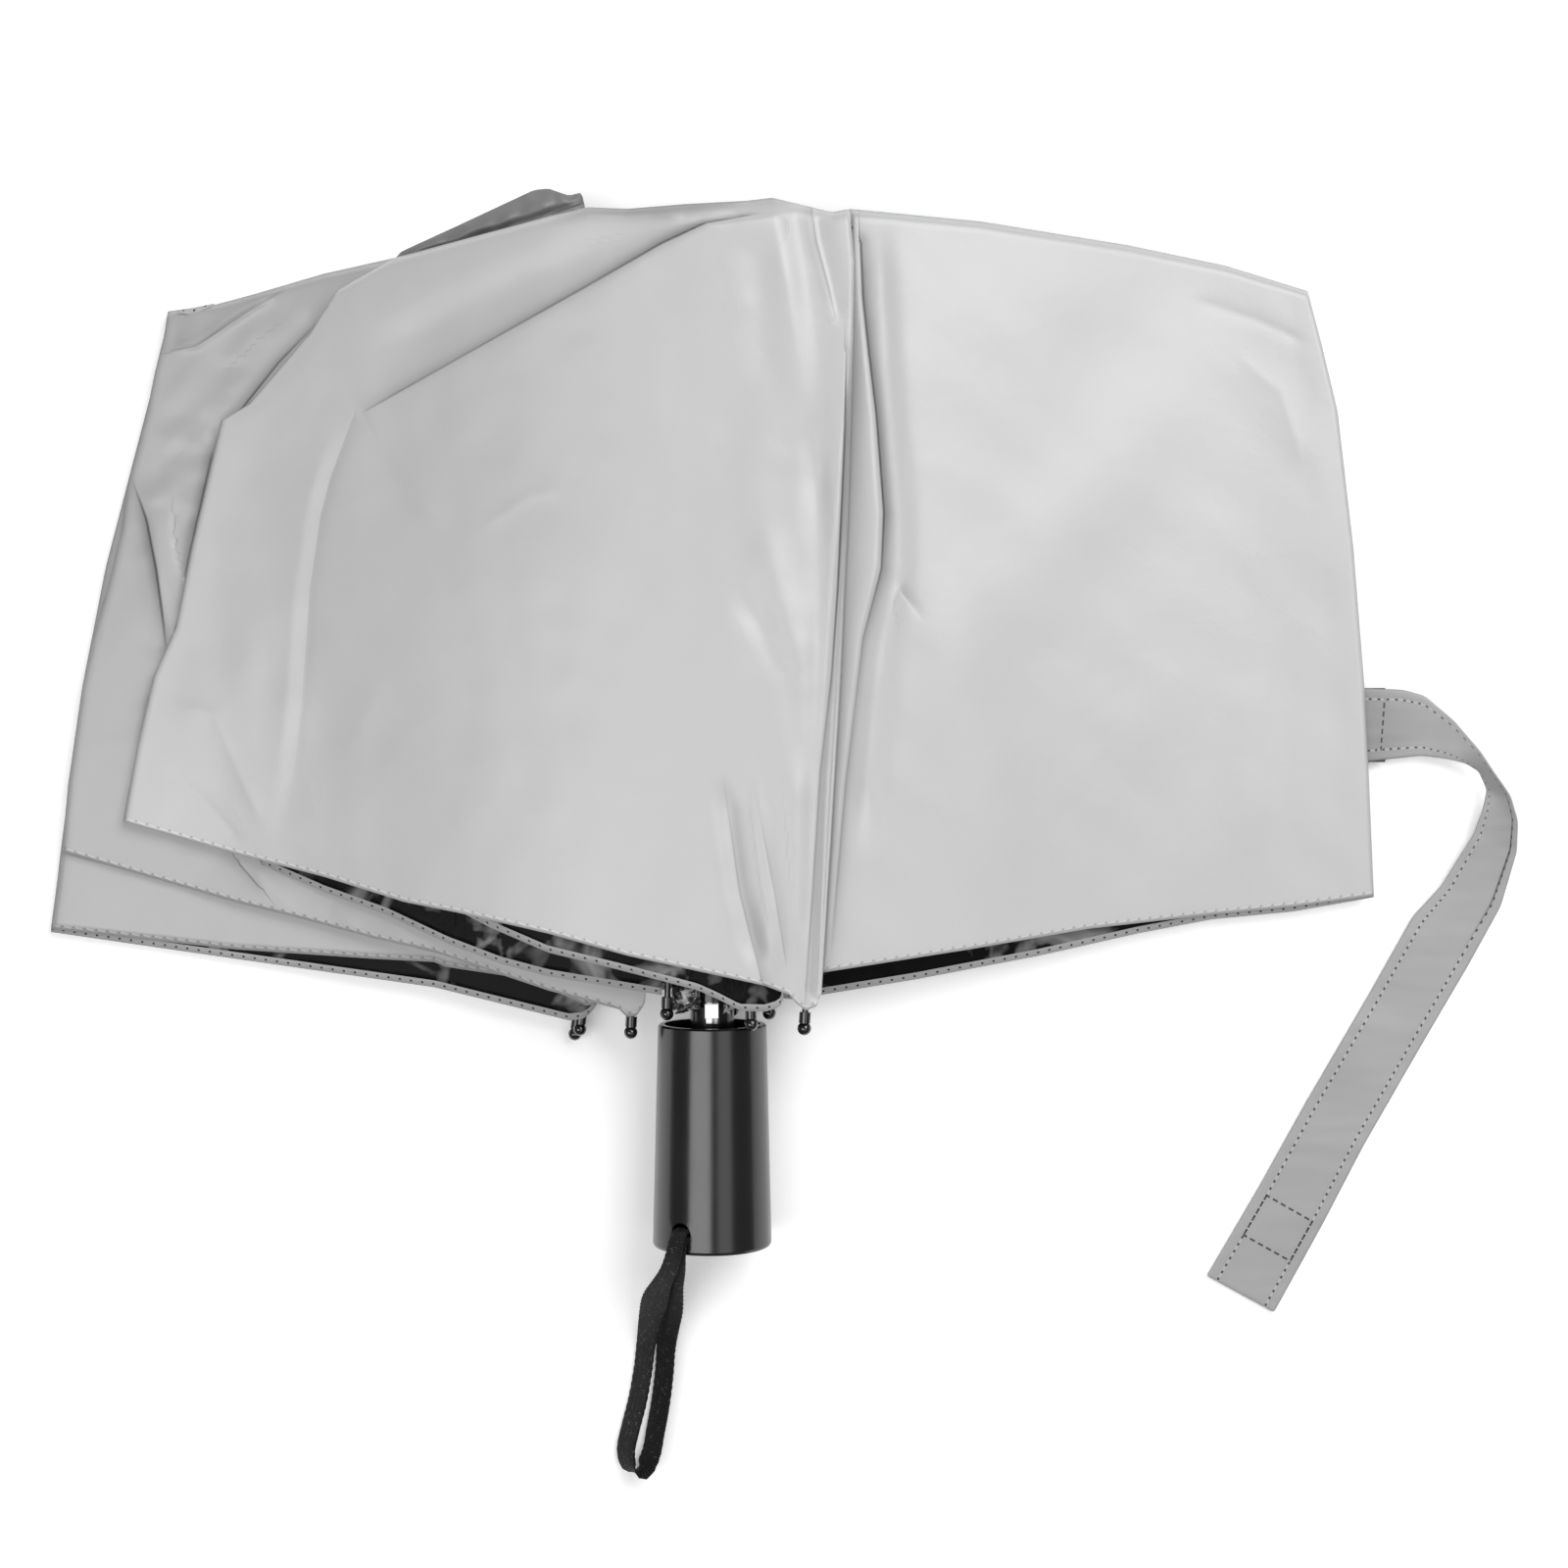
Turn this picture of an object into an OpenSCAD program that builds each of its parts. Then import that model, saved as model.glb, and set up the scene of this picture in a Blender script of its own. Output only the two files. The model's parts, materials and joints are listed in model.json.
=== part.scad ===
// Three-fold pocket umbrella, closed and loosely collapsed, lying on a flat surface.
// X points right, Y runs along the shaft from the handle's end to the crown, Z points up.
// The origin is the centre of the handle's flat end.

/* [Handle] */
// Length of the handle
handle_len = 70; // [60:1:80]
// Diameter of the handle at its end
handle_end_d = 37.6; // [36:0.2:40]
// Diameter of the handle at its mouth
handle_mouth_d = 34.4; // [33:0.2:36]
// Wall of the handle at its mouth
handle_wall = 2; // [1.6:0.1:3]
// Depth of the hollow that takes the runner
mouth_depth = 54; // [40:1:56]
// Rounding of the handle's end edge
end_round = 1.2; // [0.5:0.1:2]
// Depth of the pocket that holds the wrist ribbon's ends
pocket_depth = 7; // [5:0.5:8]
// Diameter of the ribbon's pocket
pocket_d = 7; // [6.6:0.1:8]

/* [Shaft] */
// Outside diameter of the lower tube
lower_tube_d = 7; // [6.4:0.1:7]
// Outside diameter of the middle tube
mid_tube_d = 7.8; // [7.7:0.1:8.2]
// Outside diameter of the top tube
top_tube_d = 12; // [11.6:0.1:12.4]
// Wall of the top tube
top_tube_wall = 0.5; // [0.4:0.1:0.6]
// Top end of the lower tube
lower_tube_top = 262; // [200:1:280]
// Top end of the middle tube
mid_tube_top = 290; // [286:1:300]
// Running clearance between sliding round parts, on the radius
run_gap = 0.05; // [0.02:0.01:0.1]
// Length of the guide bushes
bush_len = 10; // [6:1:14]

/* [Runner] */
// Outside diameter of the runner's neck
runner_neck_d = 13.8; // [13.6:0.1:14.4]
// Outside diameter of the runner's slotted head
runner_head_d = 21; // [20:0.5:23]
// Length of the runner's slotted head
runner_head_len = 9; // [7:0.5:12]
// Width of the spring catch
catch_w = 4.2; // [3.6:0.1:4.4]
// Length of the spring catch along the shaft
catch_len = 4.4; // [3.6:0.1:5]
// Height of the catch above the tube
catch_rise = 0.8; // [0.5:0.1:0.9]

/* [Crown] */
// Distance from the handle's end to the rib pivots at the crown
crown_y = 316; // [312:1:330]
// Outside diameter of the slotted crown
crown_d = 20; // [19:0.5:22]
// Length of the slotted crown
crown_len = 9; // [7:0.5:12]
// Radius of the pivot rings in crown and runner
pivot_r = 8; // [7.8:0.1:8.6]
// Diameter of the pivot ring wire
ring_wire_d = 1; // [0.8:0.1:1.2]

/* [Ribs] */
// Length of an inner rib, pivot to pivot
inner_rib_len = 132; // [120:1:140]
// Pivot on the inner rib that the stretcher meets, from the crown
stretcher_at = 100; // [90:1:110]
// Thickness of a rib or stretcher channel
channel_t = 1; // [0.8:0.1:1.2]
// Depth of a rib or stretcher channel
channel_h = 2; // [1.6:0.1:2.4]
// Diameter of an outer rib's rod
rod_d = 2; // [1.6:0.1:2.2]
// Diameter of a rib tip's ball
ball_d = 4.3; // [3.8:0.1:4.6]
// Diameter of the sleeve above the ball
sleeve_d = 3.6; // [3:0.1:4]
// Length of the sleeve above the ball
sleeve_len = 3; // [2:0.5:5]

/* [Canopy] */
// Width of the folded canopy from edge to edge
canopy_w = 425; // [410:5:435]
// Length of the outer panels from the tips to the top fold
panel_len = 260; // [256:1:266]
// Thickness of a cloth layer
cloth_t = 0.5; // [0.4:0.05:0.5]
// Height of the sewn fold strip beside the front seam
seam_ridge = 1.4; // [0.5:0.1:2]

/* [Straps] */
// Width of the closure strap
strap_w = 23; // [20:0.5:25]
// Thickness of the closure strap
strap_t = 0.8; // [0.6:0.1:0.9]
// Thickness of the hook and loop pads
pad_t = 0.4; // [0.3:0.05:0.4]
// Width of the wrist ribbon
ribbon_w = 8.6; // [7:0.2:9]
// Thickness of the wrist ribbon
ribbon_t = 1.2; // [0.8:0.1:1.3]

/* [Hidden] */
$fn = 64;
SLOTS = 8;
numbers = [1 : SLOTS];
gore_names = [for (k = numbers) str("canopy_gore_", k)];

table_z = -handle_end_d / 2;
handle_end_r = handle_end_d / 2;
handle_mouth_r = handle_mouth_d / 2;
floor_y = handle_len - mouth_depth;
lower_r = lower_tube_d / 2;
mid_r = mid_tube_d / 2;
mid_bore_r = lower_r + run_gap;
top_r = top_tube_d / 2;
top_bore_r = top_r - top_tube_wall;
tube_start = floor_y + 1;
lower_start = 3;
top_tube_end = crown_y + crown_len / 2;
runner_bore_r = top_r + run_gap;
runner_neck_r = runner_neck_d / 2;
runner_head_y = handle_len + 14;
runner_start = handle_len - 10;
runner_pivot_y = runner_head_y + runner_head_len / 2;
catch_y = handle_len + 4.5;
runner_travel = 1.2;
catch_leaf_t = 0.3;
catch_leaf_len = 16;
stretcher_top_y = crown_y - stretcher_at;

// Each rib's turn about the shaft from +Z towards +X, its tip and the top of its outer rod.
rib_turn = [67.5, 112.5, 157.5, -157.5, -112.5, -67.5, -22.5, 22.5];
tip_xz = [[29, 14], [18, -5], [6, -14], [-45, -15], [-43, -10.8], [-26, -2], [-14, 8], [12.6, 20]];
tip_past_mouth = [0, 2.8, 3, -5, -3, -3, 4, 2];
rod_top_xz = [[43, 14], [12.4, -5.1], [5.1, -12.4], [-5.1, -12.4], [-12.4, -5.1], [-12.4, 5.1], [-5.1, 12.4],
    [5.1, 12.4]];
rod_top_y = crown_y + 2;
elbow_r = 9.6;
mid_rod_r = 0.9;

// Stack of the cloth layers, from the lowest to the highest, at the pack and at the outer fold.
left_pack_z = [-16.5, -12.6, -8.4, -4.5, 0.5, 5, 11, 17.2, 21.8, 24.4];
left_edge_z = [-18.2, -17.2, -16.2, -15.2, -14.1, -13, -12, -11, -10, -9];
right_pack_z = [-17.7, -16.6, -14.7, -8.5, -2, 14];
right_edge_z = [-18.2, -17.2, -16.2, -15.2, -13.8, -12.6];
drape_start = 24;
drape_run = 150;
nominal_w = 425;
nominal_len = 260;
tips_y = handle_len;
// A wider canopy grows outside the ribs' tips, and keeps its form over the pack of ribs.
pack_half = max([for (tip = tip_xz) abs(tip.x)]) + ball_d;

function lerp(a, b, t) = a + (b - a) * t;
function ease(t) = let (c = min(max(t, 0), 1)) c * c * (3 - 2 * c);
function wing_x(x) =
    abs(x) < pack_half ? x :
    sign(x) * (pack_half + (abs(x) - pack_half) * (canopy_w / 2 - pack_half) / (nominal_w / 2 - pack_half));
function wing_y(y) = tips_y + (y - 70) * panel_len / nominal_len;
function along(line, t) =
    let (last = len(line) - 1, s = min(max(t, 0), 1) * last, i = min(floor(s), last - 1))
    lerp(line[i], line[i + 1], s - i);
function gap_to(p, a, b) =
    let (d = b - a, t = min(max(((p - a) * d) / (d * d), 0), 1)) norm(p - a - d * t);
function ridge(p, a, b, rise, spread) = rise * exp(-pow(gap_to(p, a, b) / spread, 2));

// Heights of a left or right layer over the plan point p, before its folds.
function left_z(layer, p) =
    lerp(left_pack_z[layer], left_edge_z[layer], ease((-p.x - drape_start) / drape_run));
function right_z(layer, p) =
    lerp(right_pack_z[layer], right_edge_z[layer], ease((p.x - drape_start) / drape_run));
function over_pack_z(p) = left_z(9, p) - 6 * ease((p.x - 8) / 30);

// Main folds that show in the outer panels.
function front_folds(p) =
    ridge(p, [26, 324], [-39, 304], 1.6, 14)
    + ridge(p, [-39, 304], [-114, 259], 2, 13)
    + ridge(p, [-114, 259], [-129, 184], 1.8, 12)
    + ridge(p, [-129, 184], [-137, 130], 1.2, 12)
    + ridge(p, [8, 210], [30, 120], 1.6, 12);
function right_folds(p) =
    ridge(p, [48, 310], [52, 235], seam_ridge, 9)
    + ridge(p, [52, 235], [38, 90], seam_ridge, 9)
    + ridge(p, [60, 200], [80, 185], 0.8, 12);
function back_folds(p) =
    ridge(p, [-186, 246], [-177, 203], 0.25, 8);

module along_y(y) {
    translate([0, y, 0]) rotate([-90, 0, 0]) children();
}

module pipe(outer_r, inner_r, start, end) {
    along_y(start) difference() {
        cylinder(h = end - start, r = outer_r);
        translate([0, 0, -1]) cylinder(h = end - start + 2, r = inner_r);
    }
}

// A rod with square ends between two points.
module rod_between(a, b, r) {
    d = b - a;
    translate(a)
        rotate([0, acos(d.z / norm(d)), atan2(d.y, d.x)])
            cylinder(h = norm(d), r = r, $fn = 24);
}

// A flat bar along the shaft in rib k's own plane: x is outwards, y along the shaft, z across.
module in_rib_plane(k) {
    rotate([0, rib_turn[k] - 90, 0]) children();
}

module channel_bar(a, b, across) {
    d = b - a;
    translate([a.x, a.y, across - channel_t / 2])
        rotate([0, 0, atan2(d.y, d.x)]) {
            translate([0, -channel_h / 2, 0]) cube([norm(d), channel_h, channel_t]);
            cylinder(h = channel_t, d = channel_h, $fn = 24);
            translate([norm(d), 0, 0]) cylinder(h = channel_t, d = channel_h, $fn = 24);
        }
}

// A closed skin round two matching grids of points, the outer one first.
module thick_sheet(outer, inner) {
    rows = len(outer);
    cols = len(outer[0]);
    count = rows * cols;
    function quad(a, b, c, d) = [[a, b, c], [a, c, d]];
    front = [for (i = [0 : rows - 2], j = [0 : cols - 2]) let (a = i * cols + j)
        each quad(a, a + 1, a + cols + 1, a + cols)];
    back = [for (i = [0 : rows - 2], j = [0 : cols - 2]) let (a = count + i * cols + j)
        each quad(a, a + cols, a + cols + 1, a + 1)];
    low = [for (j = [0 : cols - 2]) each quad(j + 1, j, count + j, count + j + 1)];
    high = [for (j = [0 : cols - 2]) let (a = (rows - 1) * cols + j)
        each quad(a, a + 1, count + a + 1, count + a)];
    left = [for (i = [0 : rows - 2]) let (a = i * cols)
        each quad(a, a + cols, count + a + cols, count + a)];
    right = [for (i = [0 : rows - 2]) let (a = i * cols + cols - 1)
        each quad(a + cols, a, count + a, count + a + cols)];
    polyhedron(
        points = concat([for (row = outer) each row], [for (row = inner) each row]),
        faces = concat(front, back, low, high, left, right)
    );
}

module handle_grip() {
    color("#262626") difference() {
        along_y(0) rotate_extrude() polygon([
            [0, 0],
            [handle_end_r - end_round, 0],
            [handle_end_r - end_round * 0.3, end_round * 0.3],
            [handle_end_r, end_round],
            [handle_mouth_r, handle_len - 0.6],
            [handle_mouth_r - 0.6, handle_len],
            [handle_mouth_r - handle_wall, handle_len],
            [handle_mouth_r - handle_wall, floor_y],
            [0, floor_y]
        ]);
        along_y(lower_start) cylinder(h = handle_len, r = lower_r);
        rotate([0, pocket_turn, 0])
            translate([0, pocket_y, handle_end_r - pocket_depth]) cylinder(h = pocket_depth + 2, d = pocket_d);
    }
}

module lower_tube() {
    color("#c9c9cb") pipe(lower_r, lower_r - 0.5, lower_start, lower_tube_top);
}

module mid_tube() {
    color("#c9c9cb") pipe(mid_r, mid_bore_r, tube_start, mid_tube_top);
}

module mid_tube_bush() {
    color("#1c1c1c") pipe(top_bore_r - run_gap, mid_r, mid_tube_top - bush_len, mid_tube_top);
}

module top_tube() {
    slot_w = catch_w + 0.3;
    slot_len = catch_len + 0.4;
    color("#b9b9bb") difference() {
        pipe(top_r, top_bore_r, tube_start, top_tube_end);
        translate([-slot_w / 2, catch_y - slot_len / 2, 0]) cube([slot_w, slot_len, top_r + 1]);
    }
}

module top_tube_bush() {
    color("#1c1c1c") pipe(top_bore_r, mid_r + run_gap, tube_start, tube_start + bush_len);
}

// The leaf lies inside the top tube and its head stands out through the tube's slot.
module spring_catch() {
    leaf_top = sqrt(pow(top_bore_r, 2) - pow(catch_w / 2, 2)) - 0.02;
    leaf_y = catch_y - catch_len / 2;
    color("#e2e2e4") union() {
        translate([-catch_w / 2, leaf_y, leaf_top - catch_leaf_t])
            cube([catch_w, catch_leaf_len, catch_leaf_t]);
        translate([-catch_w / 2, leaf_y, leaf_top - catch_leaf_t])
            cube([catch_w, catch_len, top_r + catch_rise - leaf_top + catch_leaf_t]);
    }
}

// Slots that hold eight flat bars on a wire ring.
module slotted_head(outer_d, bore_r, start, length, pivot_y) {
    slot_w = 2 * channel_t + 1.4;
    slot_floor = pivot_r - channel_h / 2 - 0.35;
    difference() {
        pipe(outer_d / 2, bore_r, start, start + length);
        for (k = [0 : SLOTS - 1]) in_rib_plane(k)
            translate([slot_floor, start - 1, -slot_w / 2]) cube([outer_d, length + 2, slot_w]);
        along_y(pivot_y) rotate_extrude()
            translate([pivot_r, 0]) circle(d = ring_wire_d + 0.04, $fn = 24);
    }
}

module runner() {
    window_w = catch_w + 0.5;
    window_start = catch_y - catch_len / 2 - runner_travel - 0.4;
    window_len = catch_len + runner_travel + 0.8;
    color("#1a1a1a") union() {
        difference() {
            pipe(runner_neck_r, runner_bore_r, runner_start, runner_head_y);
            translate([-window_w / 2, window_start, 0])
                cube([window_w, window_len, runner_neck_r + 1]);
        }
        slotted_head(runner_head_d, runner_bore_r, runner_head_y, runner_head_len, runner_pivot_y);
    }
}

module wire_ring(y) {
    along_y(y) rotate_extrude() translate([pivot_r, 0]) circle(d = ring_wire_d, $fn = 24);
}

module runner_ring() {
    color("#c9c9cb") wire_ring(runner_pivot_y);
}

module crown() {
    color("#1a1a1a") slotted_head(crown_d, top_r, crown_y - crown_len / 2, crown_len, crown_y);
}

module crown_ring() {
    color("#c9c9cb") wire_ring(crown_y);
}

module top_cap() {
    cap_r = crown_d / 2 - 1;
    color("#1a1a1a") along_y(top_tube_end) rotate_extrude() polygon([
        [0, 0], [cap_r, 0], [cap_r, 1.5], [cap_r - 1.5, 3.6], [cap_r - 5, 5], [0, 5.4]
    ]);
}

// Room for a pivot ring through a bar's eye.
module ring_hole() {
    translate([0, 0, -3]) cylinder(h = 6, d = ring_wire_d + 0.2, $fn = 24);
}

module inner_rib(k) {
    pivot = [pivot_r, crown_y];
    elbow = [elbow_r, crown_y - inner_rib_len];
    color("#2b2b2d") in_rib_plane(k) difference() {
        channel_bar(pivot, elbow, -channel_t / 2 - 0.1);
        translate([pivot.x, pivot.y, 0]) ring_hole();
    }
}

module stretcher(k) {
    foot = [pivot_r, runner_pivot_y];
    head = [lerp(pivot_r, elbow_r, stretcher_at / inner_rib_len), stretcher_top_y];
    color("#2b2b2d") in_rib_plane(k) difference() {
        channel_bar(foot, head, channel_t / 2 + 0.1);
        translate([foot.x, foot.y, 0]) ring_hole();
    }
}

// The middle rib runs from the inner rib's elbow back up to the outer rod.
module mid_rib(k) {
    turn = rib_turn[k];
    outwards = [sin(turn), 0, cos(turn)];
    elbow = outwards * (elbow_r + channel_h / 2 + 1) + [0, crown_y - inner_rib_len, 0];
    stub = outwards * (elbow_r + channel_h / 2 + 0.05) + [0, crown_y - inner_rib_len, 0];
    top = [rod_top_xz[k].x, rod_top_y, rod_top_xz[k].y];
    color("#2b2b2d") union() {
        rod_between(elbow, top, mid_rod_r);
        rod_between(stub, elbow, mid_rod_r - 0.2);
        translate(elbow) sphere(r = mid_rod_r + 0.15, $fn = 24);
    }
}

module outer_rib(k) {
    top = [rod_top_xz[k].x, rod_top_y, rod_top_xz[k].y];
    tip = [tip_xz[k].x, handle_len + tip_past_mouth[k], tip_xz[k].y];
    line = (tip - top) / norm(tip - top);
    turn = rib_turn[k];
    clear = (k == 0 ? [0, 0, 1] : [sin(turn), 0, cos(turn)]) * (mid_rod_r + rod_d / 2 + 0.2);
    color("#2b2b2d") union() {
        rod_between(top + clear, tip, rod_d / 2);
        translate(top + clear) sphere(d = rod_d + 0.3, $fn = 24);
        rod_between(tip - line * (ball_d / 2 + sleeve_len), tip - line * (ball_d / 2 - 0.4), sleeve_d / 2);
        translate(tip) sphere(d = ball_d, $fn = 32);
    }
}

// Plan outlines of the folded gores in millimetres, chosen by hand at the nominal size.
// Each seam and fold line runs from the hem to the top fold.
function gore_plan(k) =
    k == 1 ? [[[35, 86], [41.5, 178], [45.5, 328]], [[20, 78], [16, 180], [17, 318]],
        [[212, 111], [208, 177], [202, 238], [191, 303]]] :
    k == 2 ? [[[20.5, 79], [16.5, 180], [17, 318]], [[9, 80], [12, 180], [15, 316]],
        [[206, 113], [203, 177], [197, 238], [186, 300]]] :
    k == 3 ? [[[8, 80], [9, 180], [12, 316]], [[-42, 76], [-20, 180], [-4, 314]],
        [[203, 115], [199, 177], [193, 238], [182, 297]]] :
    k == 4 ? [[[-45.5, 76], [-30, 180], [-16.5, 314]], [[-47.5, 76], [-27, 180], [-8, 314]],
        [[-206, 104], [-202, 150], [-194, 215], [-170, 292]]] :
    k == 5 ? [[[-28.5, 78], [-22, 180], [-16.5, 316]], [[-46, 72], [-33.5, 180], [-18, 314]],
        [[-215, 99], [-210, 140], [-198, 215], [-174, 293]]] :
    k == 6 ? [[[-19.3, 80], [-19.3, 180], [-17.8, 316]], [[-28.5, 76], [-22, 180], [-16.5, 316]],
        [[-210, 122], [-199, 192], [-190, 238], [-177, 298]]] :
    k == 7 ? [[[10, 82], [5, 180], [2, 320]], [[-16.5, 77], [-13.5, 180], [-11.5, 318]],
        [[-147, 121], [-150, 180], [-140, 250], [-104, 314]]] :
    [[[33.5, 80], [40, 178], [43.3, 328]], [[10, 77], [5, 180], [3, 322]],
        [[-189, 134], [-170, 204], [-158, 252], [-121, 309]]];

// How far the hem and the top fold bow away from straight, and the layers each gore takes.
hem_bow = [3.5, 3, 2, 0, 1, 0, -5, -2.5];
top_bow = [6, 5, 4, 9, 9, 9, 12, 8.5];
gore_right = [true, true, true, false, false, false, false, false];
top_layer = [5, 3, 1, 1, 3, 5, 7, 9];
under_layer = [4, 2, 0, 0, 2, 4, 6, 8];
across_steps = [13, 8, 8, 8, 11, 12, 8, 14];
down_steps = [12, 8, 8, 8, 10, 11, 8, 13];

function layer_z(k, top, p) =
    k == 8 && top ? over_pack_z(p) + front_folds(p) :
    k == 1 && top ? right_z(5, p) + right_folds(p) :
    k == 6 && top ? left_z(5, p) + back_folds(p) :
    gore_right[k - 1] ? right_z(top ? top_layer[k - 1] : under_layer[k - 1], p) :
    left_z(top ? top_layer[k - 1] : under_layer[k - 1], p);

function plan_point(k, top, u, v) =
    let (
        plan = gore_plan(k),
        seam = along(plan[top ? 0 : 1], v),
        fold = along(plan[2], v),
        bow = 4 * u * (1 - u) * lerp(hem_bow[k - 1], top_bow[k - 1], v)
    )
    lerp(seam, fold, u) + [0, bow];

function cloth_point(k, top, u, v, side) =
    let (p = plan_point(k, top, u, v))
    [wing_x(p.x), wing_y(p.y), layer_z(k, top, p) + side * cloth_t / 2];

// A gore folded once down its middle: the top layer, the outer fold and the under layer.
module canopy_gore(k) {
    across = across_steps[k - 1];
    down = down_steps[k - 1];
    inset = 0.5 / across;
    outer = [for (i = [0 : down]) concat(
        [for (j = [0 : across]) cloth_point(k, true, j / across, i / down, 1)],
        [for (j = [across : -1 : 0]) cloth_point(k, false, j / across, i / down, -1)]
    )];
    inner = [for (i = [0 : down]) concat(
        [for (j = [0 : across]) cloth_point(k, true, j / across * (1 - inset), i / down, -1)],
        [for (j = [across : -1 : 0]) cloth_point(k, false, j / across * (1 - inset), i / down, 1)]
    )];
    color("#c8c8ca") thick_sheet(outer, inner);
}

// Middle line of the closure strap on the table, and the turn of its width at each point.
strap_line = [[208, 165], [218, 165], [229, 164.5], [238, 161], [245, 153], [250, 142], [251, 130],
    [245, 113], [236, 95], [222, 70], [205, 40], [188, 9], [171, -20]];
strap_turn = [90, 90, 87, 68, 45, 20, -4, -20, -27, -29, -30, -30, -30];
strap_share = [1, 1, 0.97, 0.8, 0.5, 0.42, 0.55, 0.8, 0.97, 1, 1, 1, 1];
strap_rise = [3.6, 3.6, 3.2, 3.2, 4.2, 4.6, 3.4, 1.8, 1, 0.85, 0.85, 0.85, 0.85];

function strap_point(i, side, face) =
    let (
        half = strap_w / 2 * strap_share[i],
        turn = strap_turn[i],
        lift = side * sqrt(1 - pow(strap_share[i], 2)) * strap_w * 0.16
    )
    [
        wing_x(strap_line[i].x) + side * half * cos(turn),
        wing_y(strap_line[i].y) + side * half * sin(turn),
        table_z + strap_rise[i] + abs(lift) * 0.5 + lift * 0.5 + face * strap_t / 2
    ];

module closure_strap() {
    last = len(strap_line) - 1;
    outer = [for (i = [0 : last]) [for (side = [-1, -0.33, 0.33, 1]) strap_point(i, side, 1)]];
    inner = [for (i = [0 : last]) [for (side = [-1, -0.33, 0.33, 1]) strap_point(i, side, -1)]];
    color("#acacae") thick_sheet(outer, inner);
}

// A pad under the strap, midway between the middle line's points i and i + 1.
module strap_pad(i, pad_w, pad_len) {
    centre = (strap_line[i] + strap_line[i + 1]) / 2;
    top_z = table_z + strap_rise[i] - strap_t / 2;
    translate([wing_x(centre.x), wing_y(centre.y), top_z - pad_t / 2])
        rotate([0, 0, strap_turn[i]]) cube([pad_w, pad_len, pad_t], center = true);
}

module strap_hook_pad() {
    color("#8f8f91") strap_pad(11, strap_w - 7, 14);
}

module strap_loop_pad() {
    color("#3a3a3c") strap_pad(0, strap_w + 1, 9);
}

// Route of the wrist ribbon's middle line, out of the pocket, down to the table and back.
ribbon_route = [[-6.6, 5.6, 11.9], [-8, 5.4, 14.3], [-9.2, 4.9, 16.4], [-9.9, 2.6, 17.4], [-10.1, -1.4, 17],
    [-10.6, -6.5, 12.5], [-11.6, -12, 6.5], [-13, -19, -2], [-14.4, -27, -10], [-15.4, -35, -14.2],
    [-16, -44, -15], [-17.2, -54, -15], [-18.8, -63, -14.8], [-20.4, -71, -14.2], [-23.4, -76.2, -14.1],
    [-27.2, -75, -14.1], [-28.4, -69.6, -14.2], [-27, -62.6, -14.8], [-24.8, -54, -15], [-23, -44, -15],
    [-21.8, -34, -14], [-20.2, -25, -8], [-18, -17, 1.5], [-15.4, -10, 10.5], [-13, -4.6, 16.4],
    [-11.4, 0.4, 19.4], [-10.6, 4.2, 19.8], [-9.6, 7, 17.6], [-8.2, 7.7, 14.6], [-6.6, 7.6, 11.9]];
pocket_turn = -30;
pocket_y = 6.5;
ribbon_neck_w = 5.4;

// The ribbon leaves the pocket flat to the handle and leans over where it lies on the table.
function ribbon_lean(i) =
    let (steps = len(ribbon_route) - 1, far = min(i, steps - i)) ease((far - 4) / 5);

function ribbon_ring(i) =
    let (
        steps = len(ribbon_route) - 1,
        p = ribbon_route[i],
        ahead = ribbon_route[min(i + 1, steps)] - ribbon_route[max(i - 1, 0)],
        line = ahead / norm(ahead),
        lean = ribbon_lean(i),
        want = lerp([cos(pocket_turn), 0, -sin(pocket_turn)], [0.7, 0, 0.72], lean),
        flat = want - line * (want * line),
        wide = flat / norm(flat),
        thin = cross(line, wide),
        w = lerp(ribbon_neck_w, ribbon_w, ease((min(i, steps - i) - 3) / 3)) / 2,
        t = ribbon_t / 2
    )
    [for (c = [[1, 0.4], [0.9, 1], [-0.9, 1], [-1, 0.4], [-1, -0.4], [-0.9, -1], [0.9, -1], [1, -0.4]])
        p + wide * (w * c.x) + thin * (t * c.y)];

module wrist_ribbon() {
    rings = [for (i = [0 : len(ribbon_route) - 1]) ribbon_ring(i)];
    sides = len(rings[0]);
    last = len(rings) - 1;
    skin = [for (i = [0 : last - 1], j = [0 : sides - 1])
        let (a = i * sides + j, b = i * sides + (j + 1) % sides)
        each [[a, b, b + sides], [a, b + sides, a + sides]]];
    color("#141414") polyhedron(
        points = [for (ring = rings) each ring],
        faces = concat(
            skin,
            [for (j = [1 : sides - 2]) [0, j + 1, j]],
            [for (j = [1 : sides - 2]) [last * sides, last * sides + j, last * sides + j + 1]]
        )
    );
}

handle_grip();
lower_tube();
mid_tube();
mid_tube_bush();
top_tube();
top_tube_bush();
runner();
runner_ring();
spring_catch();
crown();
crown_ring();
top_cap();
for (k = numbers) {
    inner_rib(k - 1);
    mid_rib(k - 1);
    outer_rib(k - 1);
    stretcher(k - 1);
    canopy_gore(k);
}
closure_strap();
strap_hook_pad();
strap_loop_pad();
wrist_ribbon();
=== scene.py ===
# %% [markdown]
# # A closed three-fold umbrella
# The umbrella lies flat and half folded on a white table. The hard parts (tubes, runner, ribs, handle) come
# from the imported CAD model. This lesson adds what CAD can't hold: thin wrinkled cloth, stitches, woven
# ribbon, finishes, light and the camera. The frame is the model's own: X to the right, Y along the shaft
# towards the crown, Z up. Blender works in metres; the lines below are in millimetres, and MM turns them.

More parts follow.
